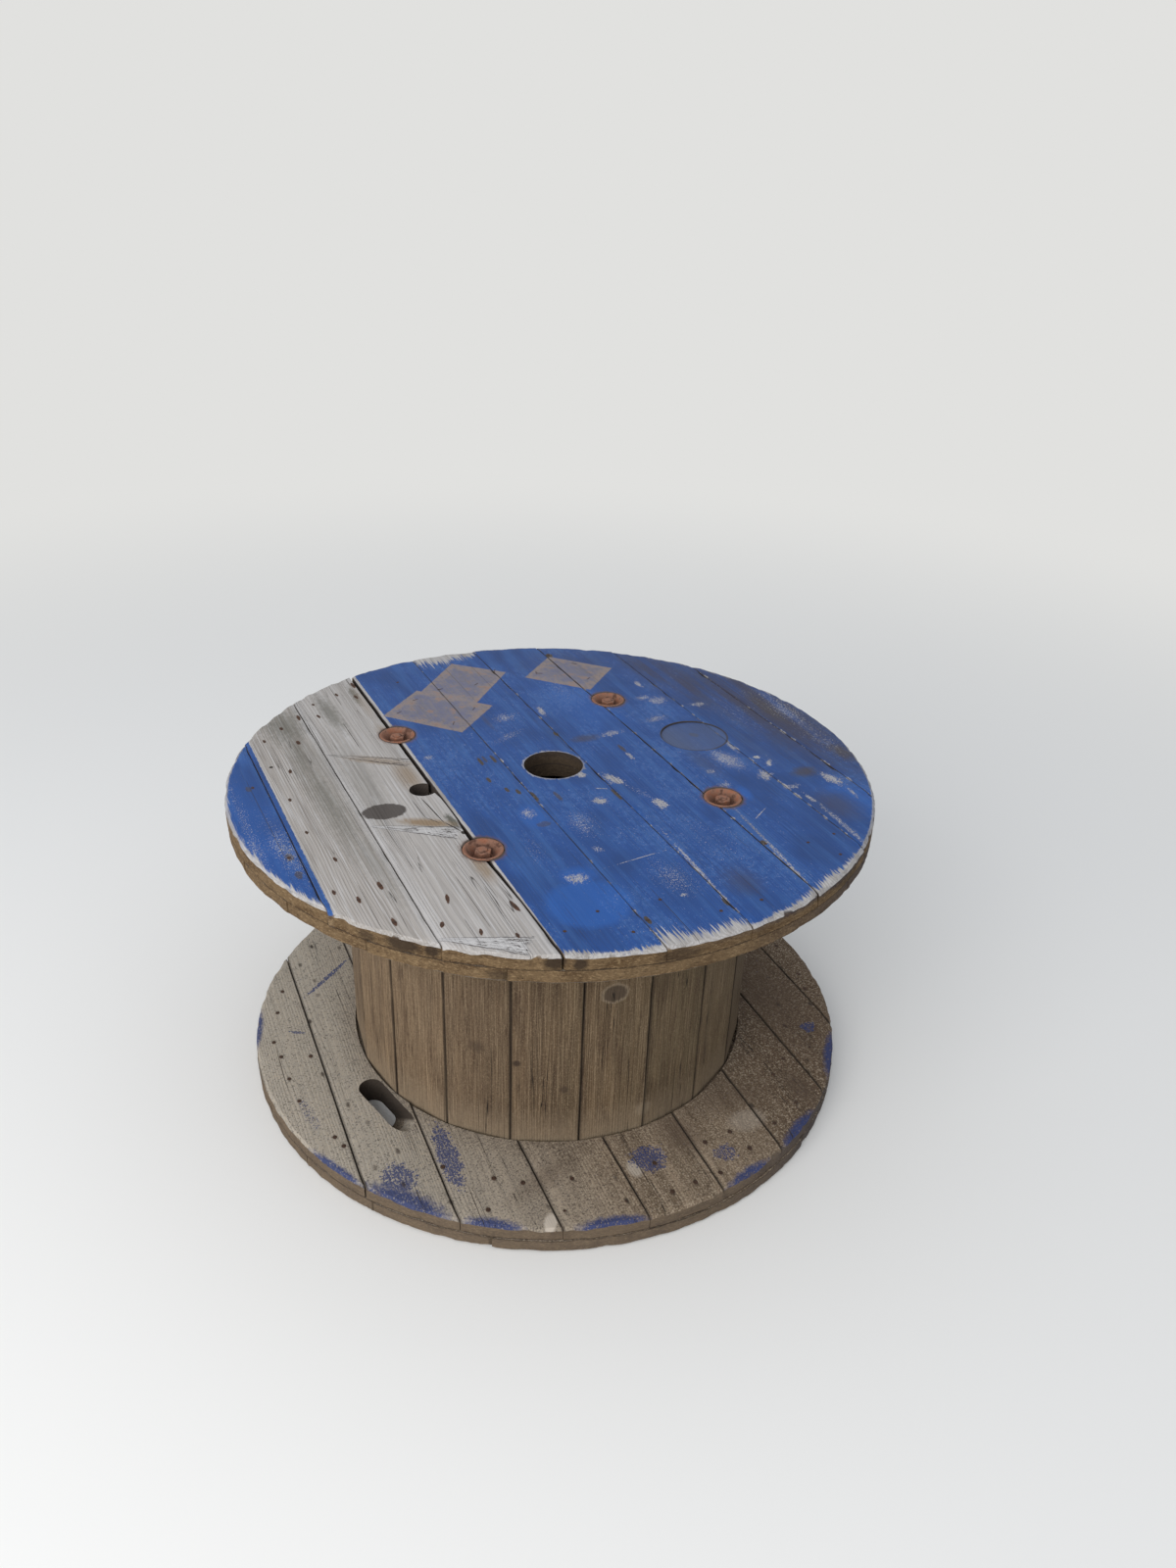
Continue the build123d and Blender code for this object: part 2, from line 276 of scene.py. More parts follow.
# sawn pine left outdoors for years: silver-grey, ribbed by the harder rings, brown round the nails
topFace = {
    "silver": "#aca59e", "pale": "#c3c0be", "greyBrown": "#8c857e", "fibreShade": "#766e67", "crackShade": "#38322d",
    "algae": "#5d5b51", "knotShade": "#453e3a", "knotBrown": "#8f7a62", "rust": "#543c2f", "grime": "#453d37",
    "blue": "#234c8d", "blueDeep": "#1d3f76", "blueLight": "#37619d", "blueFresh": "#265fae", "blueHaze": "#3d68a6",
    "purpleWorn": "#363850", "rawWood": "#b5b1ae", "barrelRust": "#6a4535", "cutFloor": "#4f5b78",
    "labelTan": "#968577", "labelGrey": "#827b7d", "labelBlue": "#716f80", "labelOrange": "#9c7b5f",
    "paintLeft": -379.5, "paintRight": -172.0, "thirdBoard": -290.0,
}
# marks of each kind: how much their outlines are broken up and softened, then x, y, half width, half length in mm,
# turn in degrees, strength and softness of each
topMarks = {
    "algae": (1.8, 0.0, (
        (-318, 20, 15, 120, 1, 0.6, 0.9), (-322, 165, 12, 110, -3, 0.55, 0.9), (-300, 120, 12, 90, 0, 0.3, 0.6),
        (-322, 265, 26, 60, 0, 0.6, 0.6), (-246, 285, 11, 60, 2, 0.6, 0.6), (-262, 60, 18, 120, 0, 0.25, 0.6),
        (-186, -96, 5, 20, 4, 0.9, 0.4), (-306, -150, 12, 80, 2, 0.35, 0.6), (-193, 335, 5, 34, 0, 0.7, 0.5))),
    "spike": (0.8, 0.0, (
        (-222, 103, 42, 9, -34, 0.85, 0.5), (-200, 45, 14, 42, 0, 0.65, 0.6), (-216, -87, 32, 9, -30, 0.95, 0.4),
        (-187, 300, 8, 60, 0, 0.35, 0.6), (-190, -210, 9, 34, 0, 0.75, 0.5), (-189, 190, 8, 26, 0, 0.5, 0.6))),
    "knot": (0.3, 0.0, (
        (-259, -38, 29, 20, -7, 0.9, 0.06),)),
    "crack": (0.5, 0.0, (
        (-200, -59, 0.8, 36, 5), (-189.5, -110, 0.9, 17, 23), (-215.5, -50, 0.5, 25, 2, 0.8),
        (-208, -84, 0.5, 12, 32, 0.8), (-237, 198, 0.5, 44, 0, 0.8), (-227, -276, 0.4, 54, 0, 0.7),
        (-205, -295, 0.4, 40, -2, 0.7), (-198, -250, 0.4, 30, 1, 0.6), (-352, 150, 0.4, 60, 1, 0.6),
        (-338, -240, 0.4, 50, 0, 0.6), (-300, -60, 0.4, 70, 0, 0.5), (-222, 345, 0.4, 40, 0, 0.7),
        (-248, -330, 0.4, 26, 0, 0.6), (-182.5, -127, 3.0, 4.0, 0), (-366.4, 140, 2.6, 2.8, 0),
        (-404, 0, 0.4, 120, 1, 0.7), (-24, -390, 0.4, 60, 0, 0.8), (20, 330, 0.4, 70, 0, 0.6),
        (-24, 330, 0.4, 90, 0, 0.6), (90, -380, 0.3, 50, 0, 0.5))),
    "nail": (0.9, 0.0, (
        (-219, 347, 2.2, 6.2, 4), (-193, 328, 2.5, 8.1, 6), (-185, 374, 3.0, 10.8, 0), (-262, 324, 2.0, 4.5),
        (-265, 279, 2.2, 6.2, 6), (-294, 284, 2.6, 9.0), (-326, 257, 2.5, 5.4), (-358, 224, 2.0, 5.4),
        (-314, 202, 2.9, 7.2), (-345, 119, 2.1, 6.2, -8), (-364, 39, 1.8, 4.5), (-364, -52, 1.8, 4.5),
        (-348, -128, 2.2, 6.2, 4), (-368, -197, 2.1, 5.4), (-315, -204, 2.6, 9.0, 3), (-346, -223, 2.1, 7.2),
        (-322, -281, 2.6, 8.1), (-252, -261, 2.3, 9.9, -12), (-275, -307, 2.6, 6.2, -20), (-240, -337, 2.2, 6.2, -16),
        (-186, -305, 3.1, 11.8, 6), (-205, -358, 2.0, 5.4), (-402, 90, 2.2, 4.5, 0, 0.5),
        (-398, -103, 2.2, 5.4, 0, 0.5))),
    "smear": (1.2, 0.0, (
        (-92, 47, 2.6, 12), (-84, 52, 2.2, 11, 0, 0.7), (-72, 50, 2.6, 12), (-101, -8, 2.8, 8), (-89, -43, 2.6, 7),
        (-77, -55, 3.0, 8), (-61, -74, 2.2, 15), (-32, -86, 3.2, 13, 0, 0.7), (-80, -147, 9, 7, 0, 0.5),
        (-408, 88, 4, 7, 0, 0.6), (-397, -102, 4.5, 9, 0, 0.7), (-396, -145, 4.5, 9, 0, 0.7), (44, -111, 2.6, 16),
        (45, 90, 3.2, 8), (115, 10, 3, 12, 0, 0.8), (80, 61, 20, 10, 0, 0.55, 0.5), (324, -153, 18, 12, 0, 0.7, 0.5),
        (414, -122, 13, 24, 0, 0.7, 0.5), (395, 55, 9, 60, 0, 0.7, 0.5), (-58, -389, 3, 8), (160, -296, 3.5, 6),
        (162, 376, 6, 9), (44, -392, 3, 8), (238, 12, 6, 8, 20, 0.6), (-35, 168, 4, 30, 0, 0.35, 0.6),
        (86, -360, 20, 26, 0, 0.35, 0.6), (310, -251, 24, 34, 0, 0.45, 0.6), (204, -75, 14, 40, 0, 0.3, 0.6))),
    "scuff": (3.6, 0.3, (
        (-87, -114, 10, 13, -20, 0.8), (-95, -280, 13, 11, -30, 0.95), (-30, -170, 18, 34, -15, 0.45),
        (-42, -230, 7, 8, 0, 0.7), (13, -325, 20, 32, 0, 0.62, 0.5), (15, -119, 8, 8), (6, -361, 7, 4),
        (-5, 171, 18, 12, 20, 0.6), (-22, 109, 30, 8, 25, 0.5), (-155, 87, 6, 7, 0, 0.6), (57, 171, 5, 15, -8),
        (122, 61, 20, 8, 12, 0.9), (115, -14, 3, 11), (60, -72, 8, 20, 14, 1.25), (87, -156, 8, 14, 0, 1.2),
        (76, -115, 5, 30, 18, 0.5), (23, -43, 6, 8, -30, 1.3), (248, 210, 4, 13), (229, 160, 13, 7, 0, 0.8),
        (248, 143, 16, 11, 10, 0.8), (212, 81, 18, 8, 10, 0.6), (240, -77, 15, 32, 5, 0.75, 0.4),
        (198, -102, 7, 6, 0, 0.7), (265, -142, 9, 15, -20, 1.1), (292, -111, 4, 11, -35, 1.1),
        (285, -88, 6, 4, 0, 1.3), (269, -46, 4, 18), (282, -184, 13, 6, 0, 0.9), (285, -220, 4, 14, 0, 1.1),
        (195, -145, 11, 8, 30, 0.7),
        (347, -184, 9, 18, 10, 1.1), (350, -229, 3, 13, -10, 0.9), (302, 106, 13, 7, -20),
        (330, 60, 26, 60, 0, 0.3, 0.6), (284, -300, 4, 60, -3, 0.9), (165, -300, 2.6, 90, -5, 0.8),
        (50, -320, 2.6, 70, -3, 0.8), (-400, -60, 16, 90, 6, 0.5, 0.5), (-430, 0, 8, 150, 0, 0.6, 0.5),
        (420, 0, 22, 120, 0, 0.5, 0.6), (-8, -268, 0.7, 38, -85, 1.2), (198, -231, 0.7, 18, -56, 1.2),
        (33, -89, 1.0, 8, 63, 1.3), (-120, -200, 14, 30, 0, 0.35, 0.6), (100, -260, 20, 40, 0, 0.3, 0.6),
        (120, 250, 10, 30, 0, 0.3, 0.6))),
    "fresh": (0.3, 0.0, (
        (-106, -333, 50, 48, 0, 0.55), (-85, -122, 17, 30, -10, 0.45, 0.3), (-92, -276, 20, 20, 0, 0.5, 0.3),
        (209, -175, 8, 18, -10, 0.6, 0.4), (352, -262, 40, 50, 0, 0.35, 0.4), (335, -215, 22, 14, 0, 0.4, 0.4),
        (130, 180, 40, 120, 0, 0.3, 0.6), (-430, 20, 30, 160, 0, 0.35, 0.6))),
    "purple": (0.8, 0.0, (
        (395, 70, 66, 220, 0, 0.95, 0.5), (312, 215, 44, 130, 8, 0.9, 0.6), (180, 330, 70, 60, 0, 0.45, 0.6),
        (300, -60, 20, 60, 0, 0.3, 0.6))),
}
topMarks = {kind: (ragged, softer, [spot(*row) for row in rows]) for kind, (ragged, softer, rows) in topMarks.items()}
# branches that the saw has cut lengthwise: their point, turn in degrees, length in mm, half their opening in radians
spikeKnots = (
    {"x": -286, "y": 148, "turn": -33.5, "long": 122, "open": 0.085, "pale": 0.25},
    {"x": -286, "y": -68, "turn": -30.5, "long": 118, "open": 0.12, "pale": 0.75},
    {"x": -288, "y": -330, "turn": -30.0, "long": 106, "open": 0.14, "pale": 0.95},
)
labelPatches = (
    {"x": -16.5, "y": 320, "rx": 67, "ry": 49, "turn": 47.5}, {"x": -90, "y": 232, "rx": 67, "ry": 53, "turn": -47},
    {"x": 162, "y": 296, "rx": 58, "ry": 50, "turn": -47},
)
paintedNails = (
    (-103, -351), (-154, -372), (-84, -403), (-58, -389), (-25, -358), (29, -406), (85, -405), (234, -358),
    (160.5, -300), (213, -318), (257, -313), (162, 380), (-115, 360), (-402, 90), (-398, -103),
)
staplePlaces = (
    (-110, 284, 20), (-148, 248, 30), (-37, 219, 50), (-84, 181, 60), (-61, 309, 10), (1, 307, 35), (50, 350, 60),
    (111, 316, 70), (115, 311, -30), (187, 328, -60), (182, 262, 35),
)
# how widely the paint has worn off at the ends of the boards, along the front and the back rim
frontFringe = (
    (-450, 8), (-388, 9), (-380, 12), (-176, 14), (-120, 7), (-66, 12), (-62, 34), (0, 20), (44, 24), (48, 7),
    (120, 9), (156, 16), (162, 17), (230, 10), (270, 6), (300, 5), (450, 4),
)
backFringe = (
    (-450, 6), (-176, 5), (-66, 6), (-62, 34), (-20, 42), (40, 26), (50, 7), (150, 5), (270, 5), (360, 9), (450, 6),
)
paintWear = {
    "streak": (2.2, 70.0, 40.0), "fleck": (1.3, 3.4, 1.3), "edgePatch": (24.0, 18.0, 24.0), "curveTop": 50.0,
    "fringeLength": (8.0, 72.0), "fringeSoft": (-1.5, 2.0), "fleckCover": (0.70, 0.595), "scuffShare": 0.25,
    "edgeWidth": (-1.4, 2.4), "boreRing": (37.0, 35.2), "arrisRing": (445.2, 446.4),
}


def fringeCurve(tree, across, points):
    radius, top = drum["flangeRadius"], paintWear["curveTop"]
    curve = addNode(tree, "FloatCurve", {"Value": addNode(tree, "MapRange", [across, -radius, radius])})
    line = curve.node.mapping.curves[0]
    for x, width in points[1:-1]:
        line.points.new((x + radius) / (2 * radius), width / top)
    line.points[0].location = (0.0, points[0][1] / top)
    line.points[-1].location = (1.0, points[-1][1] / top)
    for point in line.points:
        point.handle_type = "VECTOR"
    curve.node.mapping.update()
    return curve


def paintGone(tree, place, parts, radius, edge, ragged, broad, scuffs):
    # worn off along the fibres at the board ends, in flecks, at the board edges, round the bore and on the arris
    w = paintWear
    isBack = addNode(tree, "MapRange", [parts[1], -30.0, 30.0])
    curves = [fringeCurve(tree, parts[0], points) for points in (frontFringe, backFringe)]
    fringe = addNode(tree, "Mix", {0: isBack, 2: curves[0], 3: curves[1]}, data_type="FLOAT")
    streak = mottle(tree, place, w["streak"], detail=4.0, roughness=0.7)
    lengthened = addNode(tree, "MapRange", [streak, 0.32, 0.68, *w["fringeLength"]])
    reachIn = addNode(tree, "Math MULTIPLY", [fringe, lengthened])
    fromRim = addNode(tree, "Math SUBTRACT", [drum["flangeRadius"], radius])
    atRim = addNode(tree, "MapRange", [addNode(tree, "Math SUBTRACT", [reachIn, fromRim]), *w["fringeSoft"]])
    arris = addNode(tree, "Math MULTIPLY_ADD", [ragged, 3.0, radius])
    atArris = addNode(tree, "MapRange", [arris, *w["arrisRing"], 0.0, 0.8])
    cover = addNode(tree, "MapRange", [addNode(tree, "Math ADD", [broad, ragged]), 0.85, 1.20, *w["fleckCover"]])
    fleck = mottle(tree, place, w["fleck"], detail=3.0, roughness=0.75)
    fleck = addNode(tree, "Math MULTIPLY_ADD", [scuffs, w["scuffShare"], fleck])
    flecks = addNode(tree, "MapRange", [addNode(tree, "Math SUBTRACT", [fleck, cover]), 0.0, 0.09, 0.0, 0.9])
    frontRight = addNode(tree, "MapRange", [addNode(tree, "Math SUBTRACT", [parts[0], parts[1]]), 200.0, 420.0])
    patchy = mottle(tree, place, w["edgePatch"], detail=3.0, roughness=0.7)
    wide = addNode(tree, "Math ADD", [addNode(tree, "MapRange", [patchy, 0.48, 0.72, *w["edgeWidth"]]), frontRight])
    atEdge = addNode(tree, "MapRange", [addNode(tree, "Math SUBTRACT", [wide, edge]), -0.5, 0.6, 0.0, 0.8])
    bore = addNode(tree, "Math MULTIPLY_ADD", [ragged, -16.0, radius])
    atBore = addNode(tree, "MapRange", [bore, *w["boreRing"], 0.0, 0.65])
    return strongest(tree, [atRim, atArris, flecks, atEdge, atBore])


def spikeFan(tree, place, ragged):
    # pale wedges with dark lines that fan out from their points; gives the wedges and the lines
    wedges, lines = [0.0], [0.0]
    for knot in spikeKnots:
        out, aside, up = addNode(tree, "SeparateXYZ", [localPlace(tree, place, knot)]).node.outputs
        angle = addNode(tree, "Math ARCTAN2", [aside, addNode(tree, "Math ADD", [out, 14.0])])
        angle = addNode(tree, "Math MULTIPLY_ADD", [ragged, 0.07, angle])
        off = distanceTo(tree, angle, 0.035)
        inside = addNode(tree, "MapRange", [off, knot["open"] + 0.01, knot["open"] - 0.01])
        raggedOut = addNode(tree, "Math MULTIPLY_ADD", [ragged, 24.0, out])
        ends = addNode(tree, "MapRange", [raggedOut, knot["long"] + 12.0, knot["long"] + 4.0])
        starts = addNode(tree, "MapRange", [out, -1.0, 3.0])
        for limit in (ends, starts):
            inside = addNode(tree, "Math MULTIPLY", [inside, limit])
        rays, stretched = [addNode(tree, "Math MULTIPLY", row) for row in ([angle, 26.0], [out, 0.02])]
        fanned = addNode(tree, "CombineXYZ", [rays, stretched, knot["x"] + knot["y"]])
        stripe = addNode(tree, "TexNoise", {"Vector": fanned, "Scale": 1.0, "Detail": 2.0})
        thin = addNode(tree, "MapRange", [distanceTo(tree, stripe, 0.5), 0.035, 0.008, 0.0, 0.95])
        outline = addNode(tree, "MapRange", [addNode(tree, "Math SUBTRACT", [off, knot["open"]]), -0.03, -0.005])
        lines.append(addNode(tree, "Math MULTIPLY", [strongest(tree, [thin, outline]), inside]))
        wedges.append(addNode(tree, "Math MULTIPLY", [inside, knot["pale"]]))
    return strongest(tree, wedges), strongest(tree, lines)


def labelResidue(tree, place, fibre, ragged, labels):
    # torn paper with its glue: where it lies, and its colours
    c = topFace
    paper, reach = boxMask(tree, place, labels, ragged)
    torn = mottle(tree, place, (16.0, 20.0, 16.0), detail=4.0, roughness=0.65)
    fromMiddle = addNode(tree, "Math MULTIPLY_ADD", [torn, 1.5, reach])
    return paper, coats(tree, c["labelBlue"], [
        ((addNode(tree, "Math ADD", [fibre, torn]), 0.86, 1.10, 0.9), c["labelGrey"]),
        ((fromMiddle, 1.34, 1.66, 0.85), c["labelTan"]), ((torn, 0.55, 0.66, 0.75), c["labelOrange"]),
        ((ragged, 0.52, 0.66, 0.6), c["fibreShade"])])


def trialCut(tree, flat, x, colour):
    # the saw's trial cut, with its greyed floor and a dark line of painted shade along its wall
    c, radius = topFace, drum["cutRadius"]
    off = addNode(tree, "VectorMath SUBTRACT", [flat, drum["cutPlace"]])
    fromCut = addNode(tree, "VectorMath LENGTH", [off], out="Value")
    floor = addNode(tree, "MapRange", [fromCut, radius, radius - 1.0, 0.0, 0.5])
    greenish = addNode(tree, "MapRange", [x, 236.0, 196.0, 0.0, 0.55])
    return coats(tree, colour, [
        (floor, c["cutFloor"]), (addNode(tree, "Math MULTIPLY", [floor, greenish]), c["algae"]),
        # painted shade along the cut's wall
        ((distanceTo(tree, fromCut, radius), 1.9, 0.9, 0.8), c["crackShade"])])


def rimSides(tree, radius):
    # first 1 on every upright face, then 1 only at the rim and in the bore, where the cut ends show, then the bore
    facing = addNode(tree, "NewGeometry", out="Normal")
    upright = addNode(tree, "Math ABSOLUTE", [addNode(tree, "SeparateXYZ", [facing], out=2)])
    side = addNode(tree, "MapRange", [upright, 0.62, 0.40])
    outside = addNode(tree, "MapRange", [radius, 436.0, 442.0])
    inBore = addNode(tree, "MapRange", [radius, drum["boreRadius"] + 4.0, drum["boreRadius"] + 2.0])
    endGrain = strongest(tree, [outside, inBore])
    return [side] + [addNode(tree, "Math MULTIPLY", [side, mask]) for mask in (endGrain, inBore)]


# sawn rim, mostly end grain: ochre where the sun bleaches it, dark at the knots
rimWood = {
    "ochre": "#776044", "greyed": "#746a60", "pale": "#9c8361", "brown": "#5d472f", "dark": "#34281e",
    "overspray": "#2a2f40", "boreWall": "#332b25", "rough": (5.0, 5.0, 2.0), "broad": (46.0, 46.0, 14.0),
}


def rimKnot(degrees, wide, level=453.0, high=10.0, strength=0.85):
    # a dark knot in the sawn edge, at an angle round the drum
    a, radius = math.radians(degrees), drum["flangeRadius"]
    return spot(radius * math.cos(a), radius * math.sin(a), 30.0, wide, degrees, strength, 0.3, level, high)


rimKnots = [rimKnot(*row) for row in (
    (-136, 22), (-131.5, 9, 454, 9), (-142, 12, 450, 7, 0.6), (-114, 13, 454, 9), (-110.5, 8, 452, 8),
    (-96, 26, 451, 8, 0.6), (-60, 30, 450, 8, 0.5), (100, 20), (60, 14), (170, 16, 452, 8, 0.6),
    (-122, 12, 433, 7, 0.6))]


def rimColour(tree, place, level, overspray, knots):
    c = rimWood
    rough = mottle(tree, place, c["rough"], detail=4.0, roughness=0.8)
    broad = mottle(tree, place, c["broad"])
    darker = spotMask(tree, place, knots, rough, 0.5)
    # the groove between the two plies, at both flanges
    halfHeight = drum["height"] / 2
    fromMiddle = distanceTo(tree, level, halfHeight)
    fromGroove = distanceTo(tree, fromMiddle, halfHeight - drum["plyThickness"])
    groove = addNode(tree, "Math MULTIPLY_ADD", [rough, 2.0, fromGroove])
    return coats(tree, c["ochre"], [
        ((broad, 0.44, 0.64, 0.85), c["brown"]), ((rough, 0.51, 0.64, 0.85), c["pale"]), (darker, c["dark"]),
        ((rough, 0.44, 0.34, 0.75), c["dark"]), ((level, 120.0, 60.0, 0.45), c["greyed"]),
        (overspray, c["overspray"]), ((groove, 2.6, 1.4, 0.85), c["dark"])]), rough


def withRim(tree, place, parts, radius, colour, sideShade, overspray, knots):
    # the board sides, then the sawn rim and the bore over a face's colour; also gives the rim and its relief
    side, rim, bored = rimSides(tree, radius)
    rimShade, rough = rimColour(tree, place, parts[2], overspray, knots)
    colour = coats(tree, colour, [(side, sideShade), (rim, rimShade), ((bored, 0.0, 1.0, 0.8), rimWood["boreWall"])])
    return colour, rim, rough


# cobalt-blue gloss brushed over the pine years ago: chalked, flecked along the grain and gone at the board ends
def paintedPine(name, low, high, painted):
    material, tree, place, parts, flat, radius, grain, edge, tone, figure = startWood(name)
    ring, fibre, cloud, crack = figure
    ragged = mottle(tree, place, (5.0, 9.0, 5.0), detail=3.0, roughness=0.65)
    broad = mottle(tree, place, (70.0, 120.0, 70.0))
    marks = {kind: spotMask(tree, place, between(spots, low, high), ragged, amount, softer)
             for kind, (amount, softer, spots) in topMarks.items()}
    c = topFace
    lap = addNode(tree, "Math MULTIPLY_ADD", [ragged, 3.0, parts[0]])

    # wood
    darkWood = addNode(tree, "MapRange", [cloud, 0.46, 0.70, 0.0, 0.75], interpolation_type="SMOOTHSTEP")
    woodCracks = addNode(tree, "Math MULTIPLY", [crack, 0.25 if painted else 0.8])
    allCracks = strongest(tree, [woodCracks, marks["crack"]])
    wood = coats(tree, c["rawWood"] if painted else c["silver"], [
        (darkWood, c["greyBrown"]), ((ring, 0.0, 1.0, 0.30), c["fibreShade"]),
        ((fibre, 0.53, 0.76, 0.4), c["fibreShade"]), ((fibre, 0.48, 0.36, 0.7), c["pale"])])
    if not painted:
        wedges, wedgeLines = spikeFan(tree, flat, ragged)
        wood = coats(tree, wood, [
            ((parts[0], c["thirdBoard"], c["thirdBoard"] + 2.0, 0.22), c["pale"]),
            ((edge, 11.0, 2.0, 0.45), c["pale"]), (marks["algae"], c["algae"]), (marks["spike"], c["knotBrown"]),
            (wedges, c["pale"]), (wedgeLines, c["knotShade"]), (marks["knot"], c["knotShade"])])

    # paint, and where its film is left
    streaky = addNode(tree, "MapRange", [cloud, 0.36, 0.56, 0.4, 1.0])
    paint = coats(tree, c["blue"], [
        ((broad, 0.52, 0.34, 0.8), c["blueDeep"]), ((cloud, 0.48, 0.66, 0.55), c["blueLight"]),
        ((addNode(tree, "Math ADD", [ragged, broad]), 1.04, 1.26, 0.6), c["blueHaze"]),
        ((fibre, 0.50, 0.64, 0.65), c["blueDeep"]), (marks["fresh"], c["blueFresh"]),
        (addNode(tree, "Math MULTIPLY", [marks["purple"], streaky]), c["purpleWorn"]), (marks["smear"], c["grime"])])
    if painted:
        gone = paintGone(tree, place, parts, radius, edge, ragged, broad, marks["scuff"])
        if low < c["paintRight"] < high:
            bare = addNode(tree, "MapRange", [lap, c["paintRight"] + 1.8, c["paintRight"] + 0.8])
            gone = strongest(tree, [gone, bare])
        film = addNode(tree, "Math SUBTRACT", [1.0, gone])
    else:
        film = addNode(tree, "MapRange", [lap, c["paintLeft"] + 2.2, c["paintLeft"] + 1.2])
    colour = coats(tree, wood, [(film, paint)])

    # what lies on both: torn paper, rust, dirt in the seams
    labels = between(labelPatches, low, high)
    paper = 0.0
    if labels:
        paper, paperShade = labelResidue(tree, place, fibre, ragged, labels)
        colour = coats(tree, colour, [((paper, 0.0, 1.0, 0.85), paperShade)])
    # the second mask from boltHalo is painted shade round each washer's rim, where the washers are let into the wood
    halo, washerRimShade = boltHalo(tree, place, ragged)
    colour = coats(tree, colour, [
        (marks["nail"], c["rust"]), (halo, c["barrelRust"]), (washerRimShade, c["grime"]), (allCracks, c["crackShade"]),
        ((edge, 1.1, 0.0, 0.7), c["grime"])])
    if low < drum["cutPlace"][0] < high:
        colour = trialCut(tree, flat, parts[0], colour)

    toRight = addNode(tree, "MapRange", [parts[0], -70.0, 150.0, 0.0, 0.8])
    upper = addNode(tree, "MapRange", [addNode(tree, "Math MULTIPLY_ADD", [ragged, 9.0, parts[2]]), 456.0, 464.0])
    sprayed = addNode(tree, "Math MULTIPLY", [toRight, upper])
    knots = between(rimKnots, low, high)
    colour, rim, rimRough = withRim(tree, place, parts, radius, colour, c["grime"], sprayed, knots)

    relief = stacked(tree, 0.5, [(ring, -0.5), (fibre, -0.6)])
    relief = addNode(tree, "Math MULTIPLY", [relief, 0.22 if painted else 0.5])
    relief = stacked(tree, relief, [(allCracks, -0.8), (paper, 0.15)])
    rimRelief = addNode(tree, "Math MULTIPLY", [rimRough, 1.6])
    relief = addNode(tree, "Mix", {0: rim, 2: relief, 3: rimRelief}, data_type="FLOAT")
    roughness = addNode(tree, "MapRange", [film, 0.0, 1.0, 0.9, 0.55])
    finishMaterial(tree, colour, roughness, relief, 1.0, Specular_IOR_Level=0.25)
    return material


# pine that the cable has rubbed and the ground has splashed: grey-brown, sandy, with blue overspray
windingFace = {
    # left is painted light on the lit side, right is painted shade on the far side, foot is painted shade near the
    # barrel
    "grey": "#998670", "brown": "#6b5a47", "left": "#c6bfb2", "right": "#5a4735", "ringShade": "#66584b",
    "sand": "#b0a18c", "grit": "#40372f", "blue": "#303d69", "crackShade": "#2f2822", "foot": "#5e5145",
    "chip": "#bdb1a2", "damp": "#5a4a3c", "gritSize": (2.6, 2.6, 2.6), "dropSize": (2.2, 3.2, 2.2),
    "stain": (4.2, 8.0),
}


def rimBand(degrees, wide, deep):
    # overspray along the edge of the flange
    a, radius = math.radians(degrees), drum["flangeRadius"] - 1.0
    return spot(radius * math.cos(a), radius * math.sin(a), deep * 1.5, wide, degrees, 1.0, 0.25)


oversprayBands = [rimBand(*row) for row in (
    (-153, 50, 6), (-138.5, 62, 15), (-123, 39, 9), (-103.5, 46, 9), (-77, 40, 8), (-62, 43, 9), (-39.5, 52, 9),
    (30, 60, 7), (75, 50, 6), (120, 60, 8), (165, 44, 6))]
oversprayBlotches, windingKnots, dampPatches = ([spot(*row) for row in rows] for rows in (
    ((-327, -255, 20, 26, 10), (-255, -242, 14, 58, -4), (-12, -357, 24, 22), (90, -390, 16, 14, 0, 0.8),
     (347, -220, 14, 10, 30), (-304, 195, 4, 56, -51), (-379, 82, 3, 14, 57), (200, 360, 26, 34, 0, 0.6),
     (-60, 400, 18, 24, 0, 0.6), (-405, -95, 8, 40, 8, 0.5)),
    ((-175, -400, 14, 8, 60, 1.0, 0.2), (-37, -365, 9, 14, 0, 0.7, 0.3), (150, -350, 26, 18, 0, 0.3, 0.3)),
    ((50, -335, 22, 34, 0, 0.7, 0.5), (255, -325, 16, 34, 0, 0.7, 0.5), (330, -120, 50, 120, 0, 0.6, 0.6),
     (150, -300, 60, 26, 0, 0.5, 0.6), (-150, -330, 50, 14, 20, 0.4, 0.6))))


def overspray(tree, place, ragged):
    # drops round the blotches, a closed film along the rim
    drops = mottle(tree, place, windingFace["dropSize"], roughness=0.75)
    blotches = spotMask(tree, place, oversprayBlotches, ragged, 2.0)
    sprayHere = addNode(tree, "Math MULTIPLY_ADD", [blotches, 0.27, drops])
    spray = addNode(tree, "MapRange", [sprayHere, 0.68, 0.74, 0.0, 0.85])
    bands = spotMask(tree, place, oversprayBands, ragged, 0.9)
    banded = addNode(tree, "Math MULTIPLY", [bands, addNode(tree, "MapRange", [drops, 0.66, 0.58, 0.0, 0.92])])
    return strongest(tree, [banded, spray])


